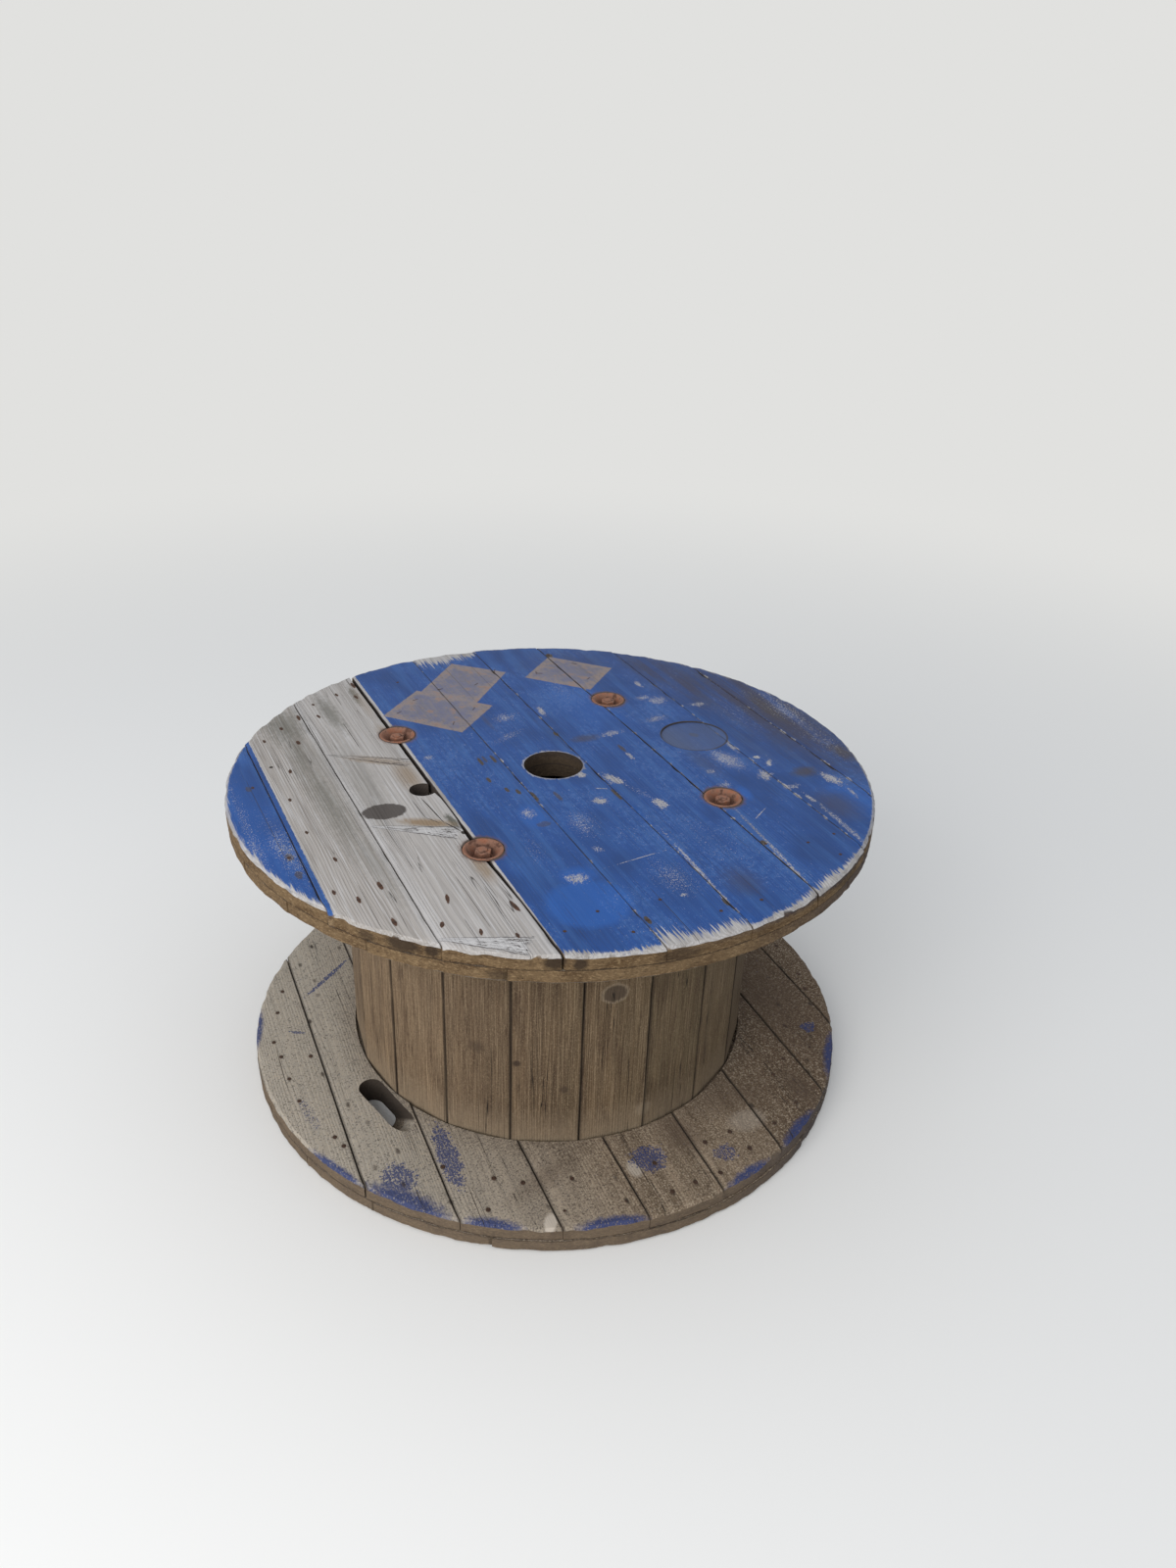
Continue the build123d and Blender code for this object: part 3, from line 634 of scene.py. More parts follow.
def dustyPine(name, c, rimsOnly):
    material, tree, place, parts, flat, radius, grain, edge, tone, figure = startWood(name)
    ring, fibre, cloud, crack = figure
    ragged = mottle(tree, place, (6.0, 6.0, 6.0), detail=3.0, roughness=0.7)
    broad = mottle(tree, place, (80.0, 80.0, 80.0), detail=1.0)
    grit = mottle(tree, place, c["gritSize"], detail=3.0, roughness=0.75)
    browner = addNode(tree, "Math MULTIPLY_ADD", [tone, 0.35, cloud])
    barrelCornerShade = addNode(tree, "Math MULTIPLY_ADD", [broad, 60.0, radius])
    colour = coats(tree, c["grey"], [
        ((browner, 0.48, 0.85, 1.0), c["brown"]), ((ring, 0.0, 1.0, 0.28), c["ringShade"]),
        # the left coat towards the left is painted light
        ((fibre, 0.51, 0.66, 0.75), c["brown"]), ((parts[0], -60.0, -330.0, 0.6), c["left"]),
        # the right coat towards the right is painted shade, and the foot coat near the barrel is painted shade under
        # the top flange
        ((parts[0], 60.0, 260.0, 0.85), c["right"]), ((barrelCornerShade, 366.0, 326.0, 0.4), c["foot"]),
        ((grit, 0.52, 0.64, 0.85), c["sand"]), ((grit, 0.46, 0.35, 0.85), c["grit"])])
    if not rimsOnly:
        colour = coats(tree, colour, [
            (spotMask(tree, place, dampPatches, ragged, 1.0), c["damp"]),
            (spotMask(tree, place, windingKnots, ragged, 0.4), c["chip"]),
            (overspray(tree, place, ragged), c["blue"]), (nailStain(tree, place, *c["stain"]), c["grit"])])
    colour = coats(tree, colour, [(crack, c["crackShade"]), ((edge, 2.5, 0.0, 0.85), c["crackShade"])])
    toRight = addNode(tree, "MapRange", [parts[0], 40.0, 250.0, 0.0, 0.55])
    knots = rimKnots if rimsOnly else ()
    colour, rim, rimRough = withRim(tree, place, parts, radius, colour, c["grit"], toRight, knots)
    relief = stacked(tree, 0.5, [(ring, -0.35), (fibre, -0.5), (grit, 0.35), (crack, -1.0)])
    rimRelief = addNode(tree, "Math MULTIPLY", [rimRough, 2.0])
    relief = addNode(tree, "Mix", {0: rim, 2: relief, 3: rimRelief}, data_type="FLOAT")
    finishMaterial(tree, colour, 0.9, relief, 0.8, Specular_IOR_Level=0.3)
    return material


# spruce staves: foxed brown, dusty at the foot, olive with algae to the right; painted shade under the flange and to
# the right, painted light to the left
staveFinish = {
    "brown": "#81694f", "pale": "#a08a6e", "dark": "#4d3c2d", "ringShade": "#5d4936", "olive": "#5e5a40",
    "dust": "#96846d", "crackShade": "#241c15", "knot": "#43352a", "knotRing": "#a08f78",
    "speck": (1.6, 1.6, 3.0), "streak": (3.0, 60.0, 3.0), "patch": (24.0, 90.0, 24.0),
}
staveKnots, staveKnotRings = ([spot(*row) for row in rows] for rows in (
    ((-41, -294, 16, 60, 0, 0.8, 0.12, 282, 13), (-160, -250, 5, 9, 0, 1, 0.3, 174, 5),
     (-202, -218, 7, 20, 0, 0.6, 0.5, 188, 9), (-103, -280, 5, 20, 0, 0.7, 0.3, 130, 6),
     (230, 190, 14, 20, 0, 1, 0.3, 230, 13), (-120, 273, 14, 20, 0, 1, 0.3, 150, 12),
     (120, 272, 11, 20, 0, 1, 0.3, 330, 10)),
    ((-41, -294, 19, 60, 0, 0.55, 0.1, 282, 16), (10, -296, 12, 60, 0, 0.4, 0.3, 70, 11),
     (230, 190, 20, 24, 0, 0.6, 0.2, 230, 18), (-120, 273, 19, 24, 0, 0.6, 0.2, 150, 17))))


def foxedSpruce():
    material, tree, place, parts, flat, radius, grain, edge, tone, figure = startWood("foxedSpruce")
    ring, fibre, cloud, crack = figure
    c = staveFinish
    ragged = mottle(tree, place, (4.0, 4.0, 7.0), detail=3.0, roughness=0.7)
    speck = mottle(tree, place, c["speck"], roughness=0.8)
    streaks = mottle(tree, grain, c["streak"], detail=4.0, roughness=0.75)
    patch = mottle(tree, grain, c["patch"], detail=3.0)
    patchy = addNode(tree, "MapRange", [patch, 0.40, 0.60, 0.45, 1.0])
    darkStreak = addNode(tree, "Math MULTIPLY", [addNode(tree, "MapRange", [streaks, 0.51, 0.62]), patchy])
    darker = addNode(tree, "Math MULTIPLY_ADD", [tone, 0.45, cloud])
    slopes = addNode(tree, "Math MULTIPLY_ADD", [tone, 160.0, parts[0]])
    dustLine = addNode(tree, "Math MULTIPLY_ADD", [ragged, 70.0, parts[2]])
    colour = coats(tree, c["brown"], [
        # the pale coat towards the left (x below -90 mm) is painted light
        ((darker, 0.48, 0.90, 0.95), c["dark"]), ((parts[0], -90.0, -240.0, 0.25), c["pale"]),
        ((slopes, -60.0, 260.0, 0.75), c["olive"]), ((ring, 0.0, 1.0, 0.3), c["ringShade"]),
        ((fibre, 0.50, 0.66, 0.6), c["pale"]), ((fibre, 0.47, 0.36, 0.55), c["ringShade"]), (darkStreak, c["dark"]),
        ((speck, 0.54, 0.70, 0.5), c["pale"]), ((speck, 0.45, 0.32, 0.6), c["dark"]),
        ((patch, 0.56, 0.70, 0.35), c["dark"]), ((dustLine, 135.0, 70.0, 0.6), c["dust"]),
        (spotMask(tree, place, staveKnotRings, ragged, 0.5), c["knotRing"]),
        # the dark coat from 310 mm up is painted shade under the top flange
        (spotMask(tree, place, staveKnots, ragged, 0.5), c["knot"]), ((parts[2], 310.0, 415.0, 0.75), c["dark"]),
        # the dark coat where slopes runs from 60 to 300 is painted shade on the right, away from the lamp
        ((slopes, 60.0, 300.0, 0.6), c["dark"]), (crack, c["crackShade"]), ((edge, 3.0, 0.3, 0.8), c["crackShade"])])
    relief = stacked(tree, 0.5, [(ring, -0.4), (fibre, -0.6), (streaks, -0.5), (crack, -1.2)])
    finishMaterial(tree, colour, 0.88, relief, 0.8, Specular_IOR_Level=0.3)
    return material


# pressed mild steel gone to scale: matt red-brown crust, darker where water stands
rustFinish = {
    "scale": "#906a57", "orange": "#9f5f3f", "dark": "#4f3227", "pit": "#33221b", "crust": (1.8, 1.8, 1.8),
    "broad": (9.0, 9.0, 9.0),
}


def rustedSteel():
    material, tree = startMaterial("rustedMildSteel")
    place = millimetres(tree)
    height = addNode(tree, "SeparateXYZ", [place], out=2)
    c = rustFinish
    crust = mottle(tree, place, c["crust"], detail=3.0, roughness=0.7)
    broad = mottle(tree, place, c["broad"], detail=3.0)
    below = addNode(tree, "MapRange", [height, 462.0, 453.0, 0.0, 0.6])
    isTop = addNode(tree, "MapRange", [height, 200.0, 201.0])
    sunk = addNode(tree, "Math MULTIPLY", [below, isTop])
    colour = coats(tree, c["scale"], [
        ((broad, 0.48, 0.64, 0.5), c["orange"]), ((broad, 0.46, 0.36, 0.8), c["dark"]),
        ((crust, 0.40, 0.30, 0.8), c["pit"]), (sunk, c["dark"])])
    finishMaterial(tree, colour, 0.85, crust, 0.5, Metallic=0.25)
    return material


# the same rust, nearly black on a nail head that the rain has worked at
nailFinish = {"black": "#3d2c23", "brown": "#6d4f3c", "crust": (1.1, 1.1, 1.1)}


def blackenedNail():
    material, tree = startMaterial("blackenedNailSteel")
    crust = mottle(tree, millimetres(tree), nailFinish["crust"], detail=4.0, roughness=0.7)
    colour = coats(tree, nailFinish["black"], [((crust, 0.50, 0.66, 1.0), nailFinish["brown"])])
    finishMaterial(tree, colour, 0.8, crust, 0.3, Metallic=0.3)
    return material


# the painted face is one finish, made in six parts so that each carries only its own marks
topParts = (
    ("cobaltPaintOnPine.left", -450, -386, True, (1,)), ("silveredPine", -386, -179, False, (2, 3)),
    ("cobaltPaintOnPine.holes", -179, -63, True, (4,)), ("cobaltPaintOnPine.bore", -63, 47, True, (5,)),
    ("cobaltPaintOnPine.beside", 47, 157, True, (6,)), ("cobaltPaintOnPine.right", 157, 450, True, (7, 8, 9)),
)
materials = {
    "bottom_inner": dustyPine("dustyRubbedPine", windingFace, False),
    # its left and right colours are painted light and shade as well
    "hidden": dustyPine("dampSawnPine", dict(windingFace, left="#84796c", right="#6f6152", grey="#7a6c5c"), True),
    "stave": foxedSpruce(),
    "steel": rustedSteel(),
    "nail": blackenedNail(),
}
for finishName, low, high, painted, boards in topParts:
    finish = paintedPine(finishName, low, high, painted)
    for board in boards:
        materials[f"top_outer_board_{board}"] = finish
print("finishes made:", len(materials))

# how far years of rolling and rain have moved the wood, mm
boardWear = {
    "stepAlong": 7.0, "stepAcross": 12.0, "edgeSteps": (2.5, 6.0), "depthSteps": (3.5, 7.0, 13.0, 16.5),
    "rimBite": 2.6, "rimNick": 1.3, "rimDrop": 2.2, "rimSetBack": 1.6, "liftSpread": 0.35, "cup": 0.5,
    "edgeWander": 0.3, "dent": 0.12, "chip": 1.6,
}


def plyFrame(turn):
    # turns a ply's boards so that they run along Y
    return Matrix.Rotation(math.radians(-turn), 3, "Z")


def staveFrame(angle):
    # X across the stave, Y up it, Z out of the barrel
    a = math.radians(angle)
    return Matrix(((-math.sin(a), math.cos(a), 0), (0, 0, 1), (math.cos(a), math.sin(a), 0)))


def slicedCopy(nodeName, toLocal, alongStep, acrossStep, edgeSteps, depthSteps):
    # a merged copy of the solid in its own frame, cut into a grid fine enough to be worn
    mesh = bmesh.new()
    mesh.from_mesh(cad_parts[nodeName].data)
    for v in mesh.verts:
        v.co = toLocal @ v.co
    bmesh.ops.remove_doubles(mesh, verts=mesh.verts, dist=3e-6)
    bmesh.ops.dissolve_limit(mesh, angle_limit=math.radians(0.3), verts=mesh.verts, edges=mesh.edges)
    low = [min(v.co[i] for v in mesh.verts) for i in range(3)]
    high = [max(v.co[i] for v in mesh.verts) for i in range(3)]
    cuts = []
    for axis, step in ((0, acrossStep), (1, alongStep)):
        size = high[axis] - low[axis]
        count = max(2, round(size / (step * mm)))
        cuts += [(axis, low[axis] + size * i / count) for i in range(1, count)]
        if axis == 0:
            cuts += [(0, place) for e in edgeSteps for place in (low[0] + e * mm, high[0] - e * mm)]
    cuts += [(2, low[2] + d * mm) for d in depthSteps]
    for axis, place in cuts:
        point, normal = Vector((0, 0, 0)), Vector((0, 0, 0))
        point[axis], normal[axis] = place, 1.0
        everything = mesh.verts[:] + mesh.edges[:] + mesh.faces[:]
        bmesh.ops.bisect_plane(mesh, geom=everything, dist=4e-5, plane_co=point, plane_no=normal)
    return mesh, low, high


def ramp(value, start, end):
    t = min(1.0, max(0.0, (value - start) / (end - start)))
    return t * t * (3 - 2 * t)


def randomSeed(chance):
    return Vector((chance.uniform(0, 500), chance.uniform(0, 500), chance.uniform(0, 500)))


def writeAttributes(mesh, low, high, chance):
    # grain runs from a pith somewhere outside the board, edge is the way to the nearest long edge, tone is the
    # piece's shade
    grain = mesh.verts.layers.float_vector.new("grain")
    edge = mesh.verts.layers.float.new("edge")
    tone = mesh.verts.layers.float.new("tone")
    middle = (low[0] + high[0]) / 2
    pith = (chance.uniform(-38, 38), chance.uniform(-900, 900), chance.choice((-1, 1)) * chance.uniform(16, 55))
    shade = chance.random()
    for v in mesh.verts:
        across, along, deep = (v.co[0] - middle) / mm, v.co[1] / mm, (v.co[2] - low[2]) / mm
        v[grain] = Vector((across + pith[0], along + pith[1], deep + pith[2]))
        v[edge] = min(v.co[0] - low[0], high[0] - v.co[0]) / mm
        v[tone] = shade


def asMesh(mesh, name, sharpFrom):
    # shaded smooth except over edges that are sharper than sharpFrom degrees
    for e in mesh.edges:
        e.smooth = len(e.link_faces) == 2 and e.calc_face_angle(0.0) < math.radians(sharpFrom)
    for f in mesh.faces:
        f.smooth = True
    data = bpy.data.meshes.new(name)
    mesh.to_mesh(data)
    mesh.free()
    return data


def hangOn(piece, node=None):
    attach(piece, "root")
    if node:
        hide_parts(node)


def finishPiece(mesh, name, fromLocal, node, material):
    bmesh.ops.triangulate(mesh, faces=mesh.faces)
    for v in mesh.verts:
        v.co = fromLocal @ v.co
    data = asMesh(mesh, name, 28)
    data.materials.append(material)
    piece = bpy.data.objects.new(name, data)
    bpy.context.scene.collection.objects.link(piece)
    hangOn(piece, node)


# the solids stand 2.5 mm apart; how far apart the boards really show, by the seam's number, mm
solidGap = 2.5
topGaps = {1: 0.7, 2: 0.8, 4: 0.5, 5: 0.6, 6: 1.5, 7: 0.7, 8: 0.9}
bottomGap = 1.0
# the open seam, the third one, wanders: how far the two boards beside it reach to the right, along the seam
openSeam = 3
openSeamLeft = (
    (-440, 6.0), (-300, 6.0), (-200, 1.0), (-135, 0.0), (-120, 1.5), (-90, 3.7), (-60, 3.7), (-30, 3.2),
    (-10, 0.0), (450, 0.0))
openSeamRight = ((-440, 4.0), (-100, 0.0), (450, 0.0))


def along(points, y):
    for (y0, a), (y1, b) in zip(points, points[1:]):
        if y0 <= y <= y1:
            return a + (b - a) * (y - y0) / (y1 - y0)
    return points[0][1] if y < points[0][0] else points[-1][1]


def seamShift(ply, number, onRight, y):
    # how far a board's edge moves to the right
    seam = number if onRight else number - 1
    if ply not in ("top_outer", "bottom_inner") or seam in (0, 9):
        return 0.0
    if ply == "top_outer" and seam == openSeam:
        return along(openSeamLeft if onRight else openSeamRight, y)
    gap = topGaps[seam] if ply == "top_outer" else bottomGap
    return (solidGap - gap) / 2 * (1 if onRight else -1)


def wearBoard(mesh, low, high, chance, ply, number, opensUp, strength):
    # rounds, lifts and chips the outward side of a board; the side that lies on the other ply stays flat
    w, radius, thick = boardWear, drum["flangeRadius"], drum["plyThickness"]
    left, right = low[0] / mm, high[0] / mm
    middle = (left + right) / 2
    setBack = chance.uniform(0.2, w["rimSetBack"])
    lift = chance.uniform(-1, 1) * w["liftSpread"] * strength
    cup = chance.uniform(-1, 0.6) * w["cup"] * strength
    seed = randomSeed(chance)
    for v in mesh.verts:
        x, y, z = v.co[0] / mm, v.co[1] / mm, v.co[2] / mm
        outward = (z - low[2] / mm) / thick if opensUp else (high[2] / mm - z) / thick
        r = math.hypot(x, y)
        edge = min(x - left, right - x)
        onRight = x > middle
        here = Vector((x, y, z))
        atRim = ramp(r, radius - 14, radius - 4)
        x += seamShift(ply, number, onRight, y) * max(0.0, 1 - edge / 10.0)
        if atRim > 0:
            bite = max(0.0, noise.noise(here * 0.045 + seed)) * w["rimBite"]
            nick = max(0.0, noise.noise(here * 0.21 + seed)) * w["rimNick"]
            back = atRim * (setBack + (bite + nick))
            x, y = x * (1 - back / r), y * (1 - back / r)
        rise = 0.0
        if outward > 0.8:
            across = (x - middle) / (right - middle)
            rise = lift + cup * (1 - across * across) + noise.noise(here * 0.07 + seed) * w["dent"] * 2
            rise -= atRim * max(0.0, 0.25 + noise.noise(here * 0.06 - seed)) * w["rimDrop"] * strength
            chip = max(0.0, noise.noise(Vector((seed[0] + (3 if onRight else 0), y * 0.035, seed[2]))) - 0.18) / 0.5
            rise -= ramp(edge, 5.0, 0.5) * chip * w["chip"]
        if edge < 3.0 and r < radius - 3:
            there = Vector((seed[1] + (7 if onRight else 0), y * 0.012, outward * 0.8))
            x += noise.noise(there) * w["edgeWander"] * ramp(edge, 3.0, 0.4)
        z += rise if opensUp else -min(0.0, rise)
        v.co = Vector((x * mm, y * mm, z * mm))


def plyFacts(turn, opensUp, slot, finish, strength, finer):
    return {"turn": turn, "opensUp": opensUp, "slot": slot, "finish": finish, "strength": strength, "finer": finer}


plies = {
    "top_outer": plyFacts(0.0, True, "top_face_boards", "top_outer", 1.0, 1.0),
    "top_inner": plyFacts(90.0, False, "top_winding_boards", "hidden", 0.3, 1.6),
    "bottom_inner": plyFacts(drum["bottomTurn"], True, "bottom_winding_boards", "bottom_inner", 1.0, 1.0),
    "bottom_outer": plyFacts(drum["bottomTurn"] + 90.0, False, "bottom_face_boards", "hidden", 0.5, 1.6),
}
for plyName, facts in plies.items():
    toLocal = plyFrame(facts["turn"])
    names = sorted(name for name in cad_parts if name.startswith(plyName + "_board_"))
    for name in names:
        chance = random.Random(name)
        steps = [boardWear[step] * facts["finer"] for step in ("stepAlong", "stepAcross")]
        mesh, low, high = slicedCopy(name, toLocal, *steps, boardWear["edgeSteps"], boardWear["depthSteps"])
        writeAttributes(mesh, low, high, chance)
        number = int(name.rsplit("_", 1)[1])
        wearBoard(mesh, low, high, chance, plyName, number, facts["opensUp"], facts["strength"])
        finish = materials[name if name in materials else facts["finish"]]
        finishPiece(mesh, name + "_worn", toLocal.inverted(), name, finish)
    print(plyName, "boards worn:", len(names))

staveWear = {
    "stepAlong": 9.0, "stepAcross": 11.0, "edgeSteps": (2.5,), "setBack": 1.4, "cup": 0.6, "edgeWander": 0.6,
    "dent": 0.25, "chip": 1.2, "closeUp": 0.8, "skin": 4.0,
}
for k in range(drum["staves"]):
    w, name = staveWear, f"stave_{k + 1}"
    chance = random.Random(name)
    toLocal = staveFrame(drum["firstStave"] + k * 360.0 / drum["staves"])
    mesh, low, high = slicedCopy(name, toLocal, w["stepAlong"], w["stepAcross"], w["edgeSteps"], ())
    writeAttributes(mesh, low, high, chance)
    seed = randomSeed(chance)
    back, cup = chance.uniform(0, w["setBack"]), chance.uniform(-1, 1) * w["cup"]
    halfWide, outside = (high[0] - low[0]) / 2 / mm, high[2] / mm
    for v in mesh.verts:
        x, y, z = v.co[0] / mm, v.co[1] / mm, v.co[2] / mm
        edge = halfWide - abs(x)
        x += math.copysign(w["closeUp"], x) * max(0.0, 1 - edge / 10.0)
        if z > outside - w["skin"]:
            chip = max(0.0, noise.noise(Vector((seed[0] + (5 if x > 0 else 0), y * 0.03, seed[1]))) - 0.2) / 0.5
            dent = noise.noise(Vector((x * 0.08, y * 0.02, 0)) + seed) * w["dent"]
            z += -back - cup * (1 - (x / halfWide) ** 2) * 0.5 + dent - ramp(edge, 5.0, 0.5) * chip * w["chip"]
            z = min(z, outside)
            wander = noise.noise(Vector((seed[2] + (9 if x > 0 else 0), y * 0.01, 0))) * w["edgeWander"]
            x += wander * ramp(edge, 4.0, 0.5)
        v.co = Vector((x * mm, y * mm, z * mm))
    finishPiece(mesh, name + "_worn", toLocal.inverted(), name, materials["stave"])
print("staves worn:", drum["staves"])

# pressed washers, forged bolts and nuts: one of each is made, then repeated round the axis
fastener = {
    "rimRadius": 26.0, "rimRound": 0.9, "thick": 2.5, "mouth": 22.5, "floor": 13.0, "depth": 12.0, "hole": 6.75,
    "letInBelow": 3.5, "letInAbove": 2.0, "segments": 72, "dent": 0.5, "boltRadius": 6.0, "thread": 1.75,
    "threadDepth": 0.9, "threadLength": 14.0, "threadRows": 24, "boltSegments": 48, "headHeight": 7.5,
    "nutHeight": 10.0, "acrossFlats": 19.0, "chamferRadius": 9.2, "chamfer": 30.0, "boltEnd": 1.5, "count": 4,
    "firstAngle": 45.0,
}


def latheRings(mesh, rings, segments, closed):
    # rings are functions of the angle that give a radius and a height in mm
    rows = []
    for ring in rings:
        rows.append([])
        for k in range(segments):
            a = 2 * math.pi * k / segments
            radius, height = ring(a)
            rows[-1].append(mesh.verts.new((radius * math.cos(a) * mm, radius * math.sin(a) * mm, height * mm)))
    for below, above in zip(rows, rows[1:] + (rows[:1] if closed else [])):
        for k in range(segments):
            n = (k + 1) % segments
            mesh.faces.new((below[k], below[n], above[n], above[k]))
    if not closed:
        mesh.faces.new(list(reversed(rows[0])))
        mesh.faces.new(rows[-1])


def washerRings(level, flip, phase):
    # the rim outside, over its rounded edge, down the dish to the hole, and back up underneath
    f = fastener
    rim, mouth, floor, t, e, deep = f["rimRadius"], f["mouth"], f["floor"], f["thick"], f["rimRound"], f["depth"]
    profile = [(rim, 0.0), (rim, t - e), (rim - e * 0.35, t - e * 0.3), (rim - e, t), (mouth + 1.6, t),
               (mouth + 0.3, t - 0.35), (mouth - 0.6, t - 1.3)]
    for part in (0.25, 0.5, 0.75):
        profile.append((mouth - 0.6 - (mouth - floor - 1.4) * part, t - 1.3 - (deep - 2.3) * part))
    profile += [(floor + 0.8, t - deep + 1.0), (floor - 0.4, t - deep), (f["hole"], t - deep), (f["hole"], -deep),
                (floor + 0.2, -deep), (mouth - 1.4, -1.2), (mouth - 0.2, 0.0)]
    rings = []
    for radius, height in profile:
        def ring(a, radius=radius, height=height):
            wave = math.sin(3 * a + phase) * 0.5 + math.sin(5 * a - 2 * phase) * 0.3
            onRim = radius > mouth + 3
            out = radius + (wave * f["dent"] * 0.5 if onRim else 0.0)
            lifted = height - (abs(wave) * f["dent"] if height > 1.5 and onRim else 0.0)
            return min(out, rim), level + (-lifted if flip else lifted)
        rings.append(ring)
    return rings


def hexRadius(a):
    return fastener["acrossFlats"] / 2 / math.cos((a % (math.pi / 3)) - math.pi / 6)


def nutRings(base, height, bore):
    # a forged hexagon with its corners turned off at both ends
    f, rings = fastener, []
    slope = math.tan(math.radians(f["chamfer"]))
    for end, sign in ((base, 1), (base + height, -1)):
        def corner(a, end=end, sign=sign):
            return hexRadius(a), end + sign * (max(0.0, hexRadius(a) - f["chamferRadius"]) * slope + 0.05)
        inner = [lambda a, end=end: (bore, end), lambda a, end=end: (f["chamferRadius"], end), corner]
        rings += inner if sign > 0 else reversed(inner)
    return rings


def plainMesh(name, build):
    mesh = bmesh.new()
    build(mesh)
    bmesh.ops.triangulate(mesh, faces=mesh.faces)
    bmesh.ops.recalc_face_normals(mesh, faces=mesh.faces)
    return asMesh(mesh, name, 32)


def startTree(name, sockets):
    tree = bpy.data.node_groups.new(name, "GeometryNodeTree")
    tree.interface.new_socket("Geometry", in_out="OUTPUT", socket_type="NodeSocketGeometry")
    tree.interface.new_socket("Geometry", in_out="INPUT", socket_type="NodeSocketGeometry")
    for label, kind in sockets.items():
        tree.interface.new_socket(label, in_out="INPUT", socket_type="NodeSocket" + kind)
    return tree, tree.nodes.new("NodeGroupInput").outputs


def endTree(tree, geometry, material):
    realized = addNode(tree, "GeometryNodeRealizeInstances", [geometry])
    coated = addNode(tree, "GeometryNodeSetMaterial", {"Geometry": realized, "Material": material})
    tree.links.new(coated, tree.nodes.new("NodeGroupOutput").inputs[0])


def evaluated(name, source, tree, values):
    # runs a tree on a source mesh and keeps what it makes as a plain mesh
    holder = bpy.data.objects.new(name + "Source", source)
    bpy.context.scene.collection.objects.link(holder)
    modifier = holder.modifiers.new("nodes", "NODES")
    modifier.node_group = tree
    for item in tree.interface.items_tree:
        if item.item_type == "SOCKET" and item.in_out == "INPUT" and item.name in values:
            modifier[item.identifier] = values[item.name]
    data = bpy.data.meshes.new_from_object(holder.evaluated_get(bpy.context.evaluated_depsgraph_get()))
    holder.modifiers.clear()
    bpy.data.objects.remove(holder)
    data.name = name
    piece = bpy.data.objects.new(name, data)
    bpy.context.scene.collection.objects.link(piece)
    return piece


def roundTheAxisTree(material):
    tree, entry = startTree("roundTheAxis", {
        "count": "Int", "radius": "Float", "firstAngle": "Float", "turnSpread": "Float", "seed": "Int"})
    circle = addNode(tree, "GeometryNodeMeshCircle", {"Vertices": entry["count"], "Radius": entry["radius"]})
    first = addNode(tree, "CombineXYZ", {2: entry["firstAngle"]})
    placed = addNode(tree, "GeometryNodeTransform", {"Geometry": circle, "Rotation": first})
    spin = addNode(tree, "FunctionNodeRandomValue", {
        2: 0.0, 3: entry["turnSpread"], "Seed": entry["seed"]}, out=1, data_type="FLOAT")
    links = {"Points": placed, "Instance": entry["Geometry"], "Rotation": addNode(tree, "CombineXYZ", {2: spin})}
    endTree(tree, addNode(tree, "GeometryNodeInstanceOnPoints", links), material)
    return tree


repeatRound = roundTheAxisTree(materials["steel"])
nutBase = drum["height"] - fastener["letInAbove"] + fastener["thick"] - fastener["depth"]
headBase = fastener["letInBelow"] - fastener["thick"] + fastener["depth"]


def buildWashers(mesh):
    f = fastener
    latheRings(mesh, washerRings(drum["height"] - f["letInAbove"], False, 0.7), f["segments"], True)
    latheRings(mesh, washerRings(f["letInBelow"], True, 2.1), f["segments"], True)


def buildNut(mesh):
    f = fastener
    latheRings(mesh, nutRings(nutBase, f["nutHeight"], f["boltRadius"] + 0.1), f["segments"], True)


def buildBolt(mesh):
    f = fastener
    tip = 0.02
    end = nutBase + f["nutHeight"] + f["boltEnd"]
    start, foot, face = end - f["threadLength"], headBase - f["headHeight"], f["chamferRadius"] - 1.2
    rings = [lambda a: (tip, foot + 0.3), lambda a: (face, foot),
             lambda a: (hexRadius(a), foot + (hexRadius(a) - face) * 0.45), lambda a: (hexRadius(a), headBase),
             lambda a: (f["boltRadius"], headBase), lambda a: (f["boltRadius"], start)]
    for i in range(f["threadRows"]):
        # one helical thread: the crest climbs one pitch in a turn
        def ring(a, z=start + (f["threadLength"] - 0.6) * (i + 0.5) / f["threadRows"]):
            phase = (z / f["thread"] - a / (2 * math.pi)) % 1.0
            return f["boltRadius"] - f["threadDepth"] * abs(phase * 2 - 1), z
        rings.append(ring)
    rings += [lambda a: (f["boltRadius"] - f["threadDepth"] - 0.1, end), lambda a: (tip, end)]
    latheRings(mesh, rings, f["boltSegments"], False)


for name, build, node, seed in (
        ("dished_washers_pressed", buildWashers, "dished_washers", 1), ("hex_nuts_forged", buildNut, "hex_nuts", 2),
        ("tie_bolts_threaded", buildBolt, "tie_bolts", 3)):
    piece = evaluated(name, plainMesh(name + "One", build), repeatRound, {
        "count": fastener["count"], "radius": drum["boltCircle"] * mm,
        "firstAngle": math.radians(fastener["firstAngle"]), "turnSpread": 0.0, "seed": seed})
    hangOn(piece, node)
print("fasteners made")

# round wire nails, driven flush, at the places where the wood is stained
nail = {
    "head": 3.4, "thick": 1.1, "shank": 1.8, "length": 7.0, "proud": 0.15, "clearOfSeam": 5.5, "segments": 12,
    "tilt": 0.05, "topHead": 2.2, "seed": 5,
}
staple = {"crown": 10.0, "wire": 0.55, "sunk": 0.15, "leg": 3.0, "sides": 8}


def buildNail(mesh):
    head, shank, thick = nail["head"], nail["shank"], nail["thick"]
    profile = ((shank, -nail["length"]), (shank, -thick), (head, -thick * 0.8), (head, -0.35), (head * 0.86, -0.05),
               (head * 0.4, 0.0))
    latheRings(mesh, [lambda a, row=row: row for row in profile], nail["segments"], False)


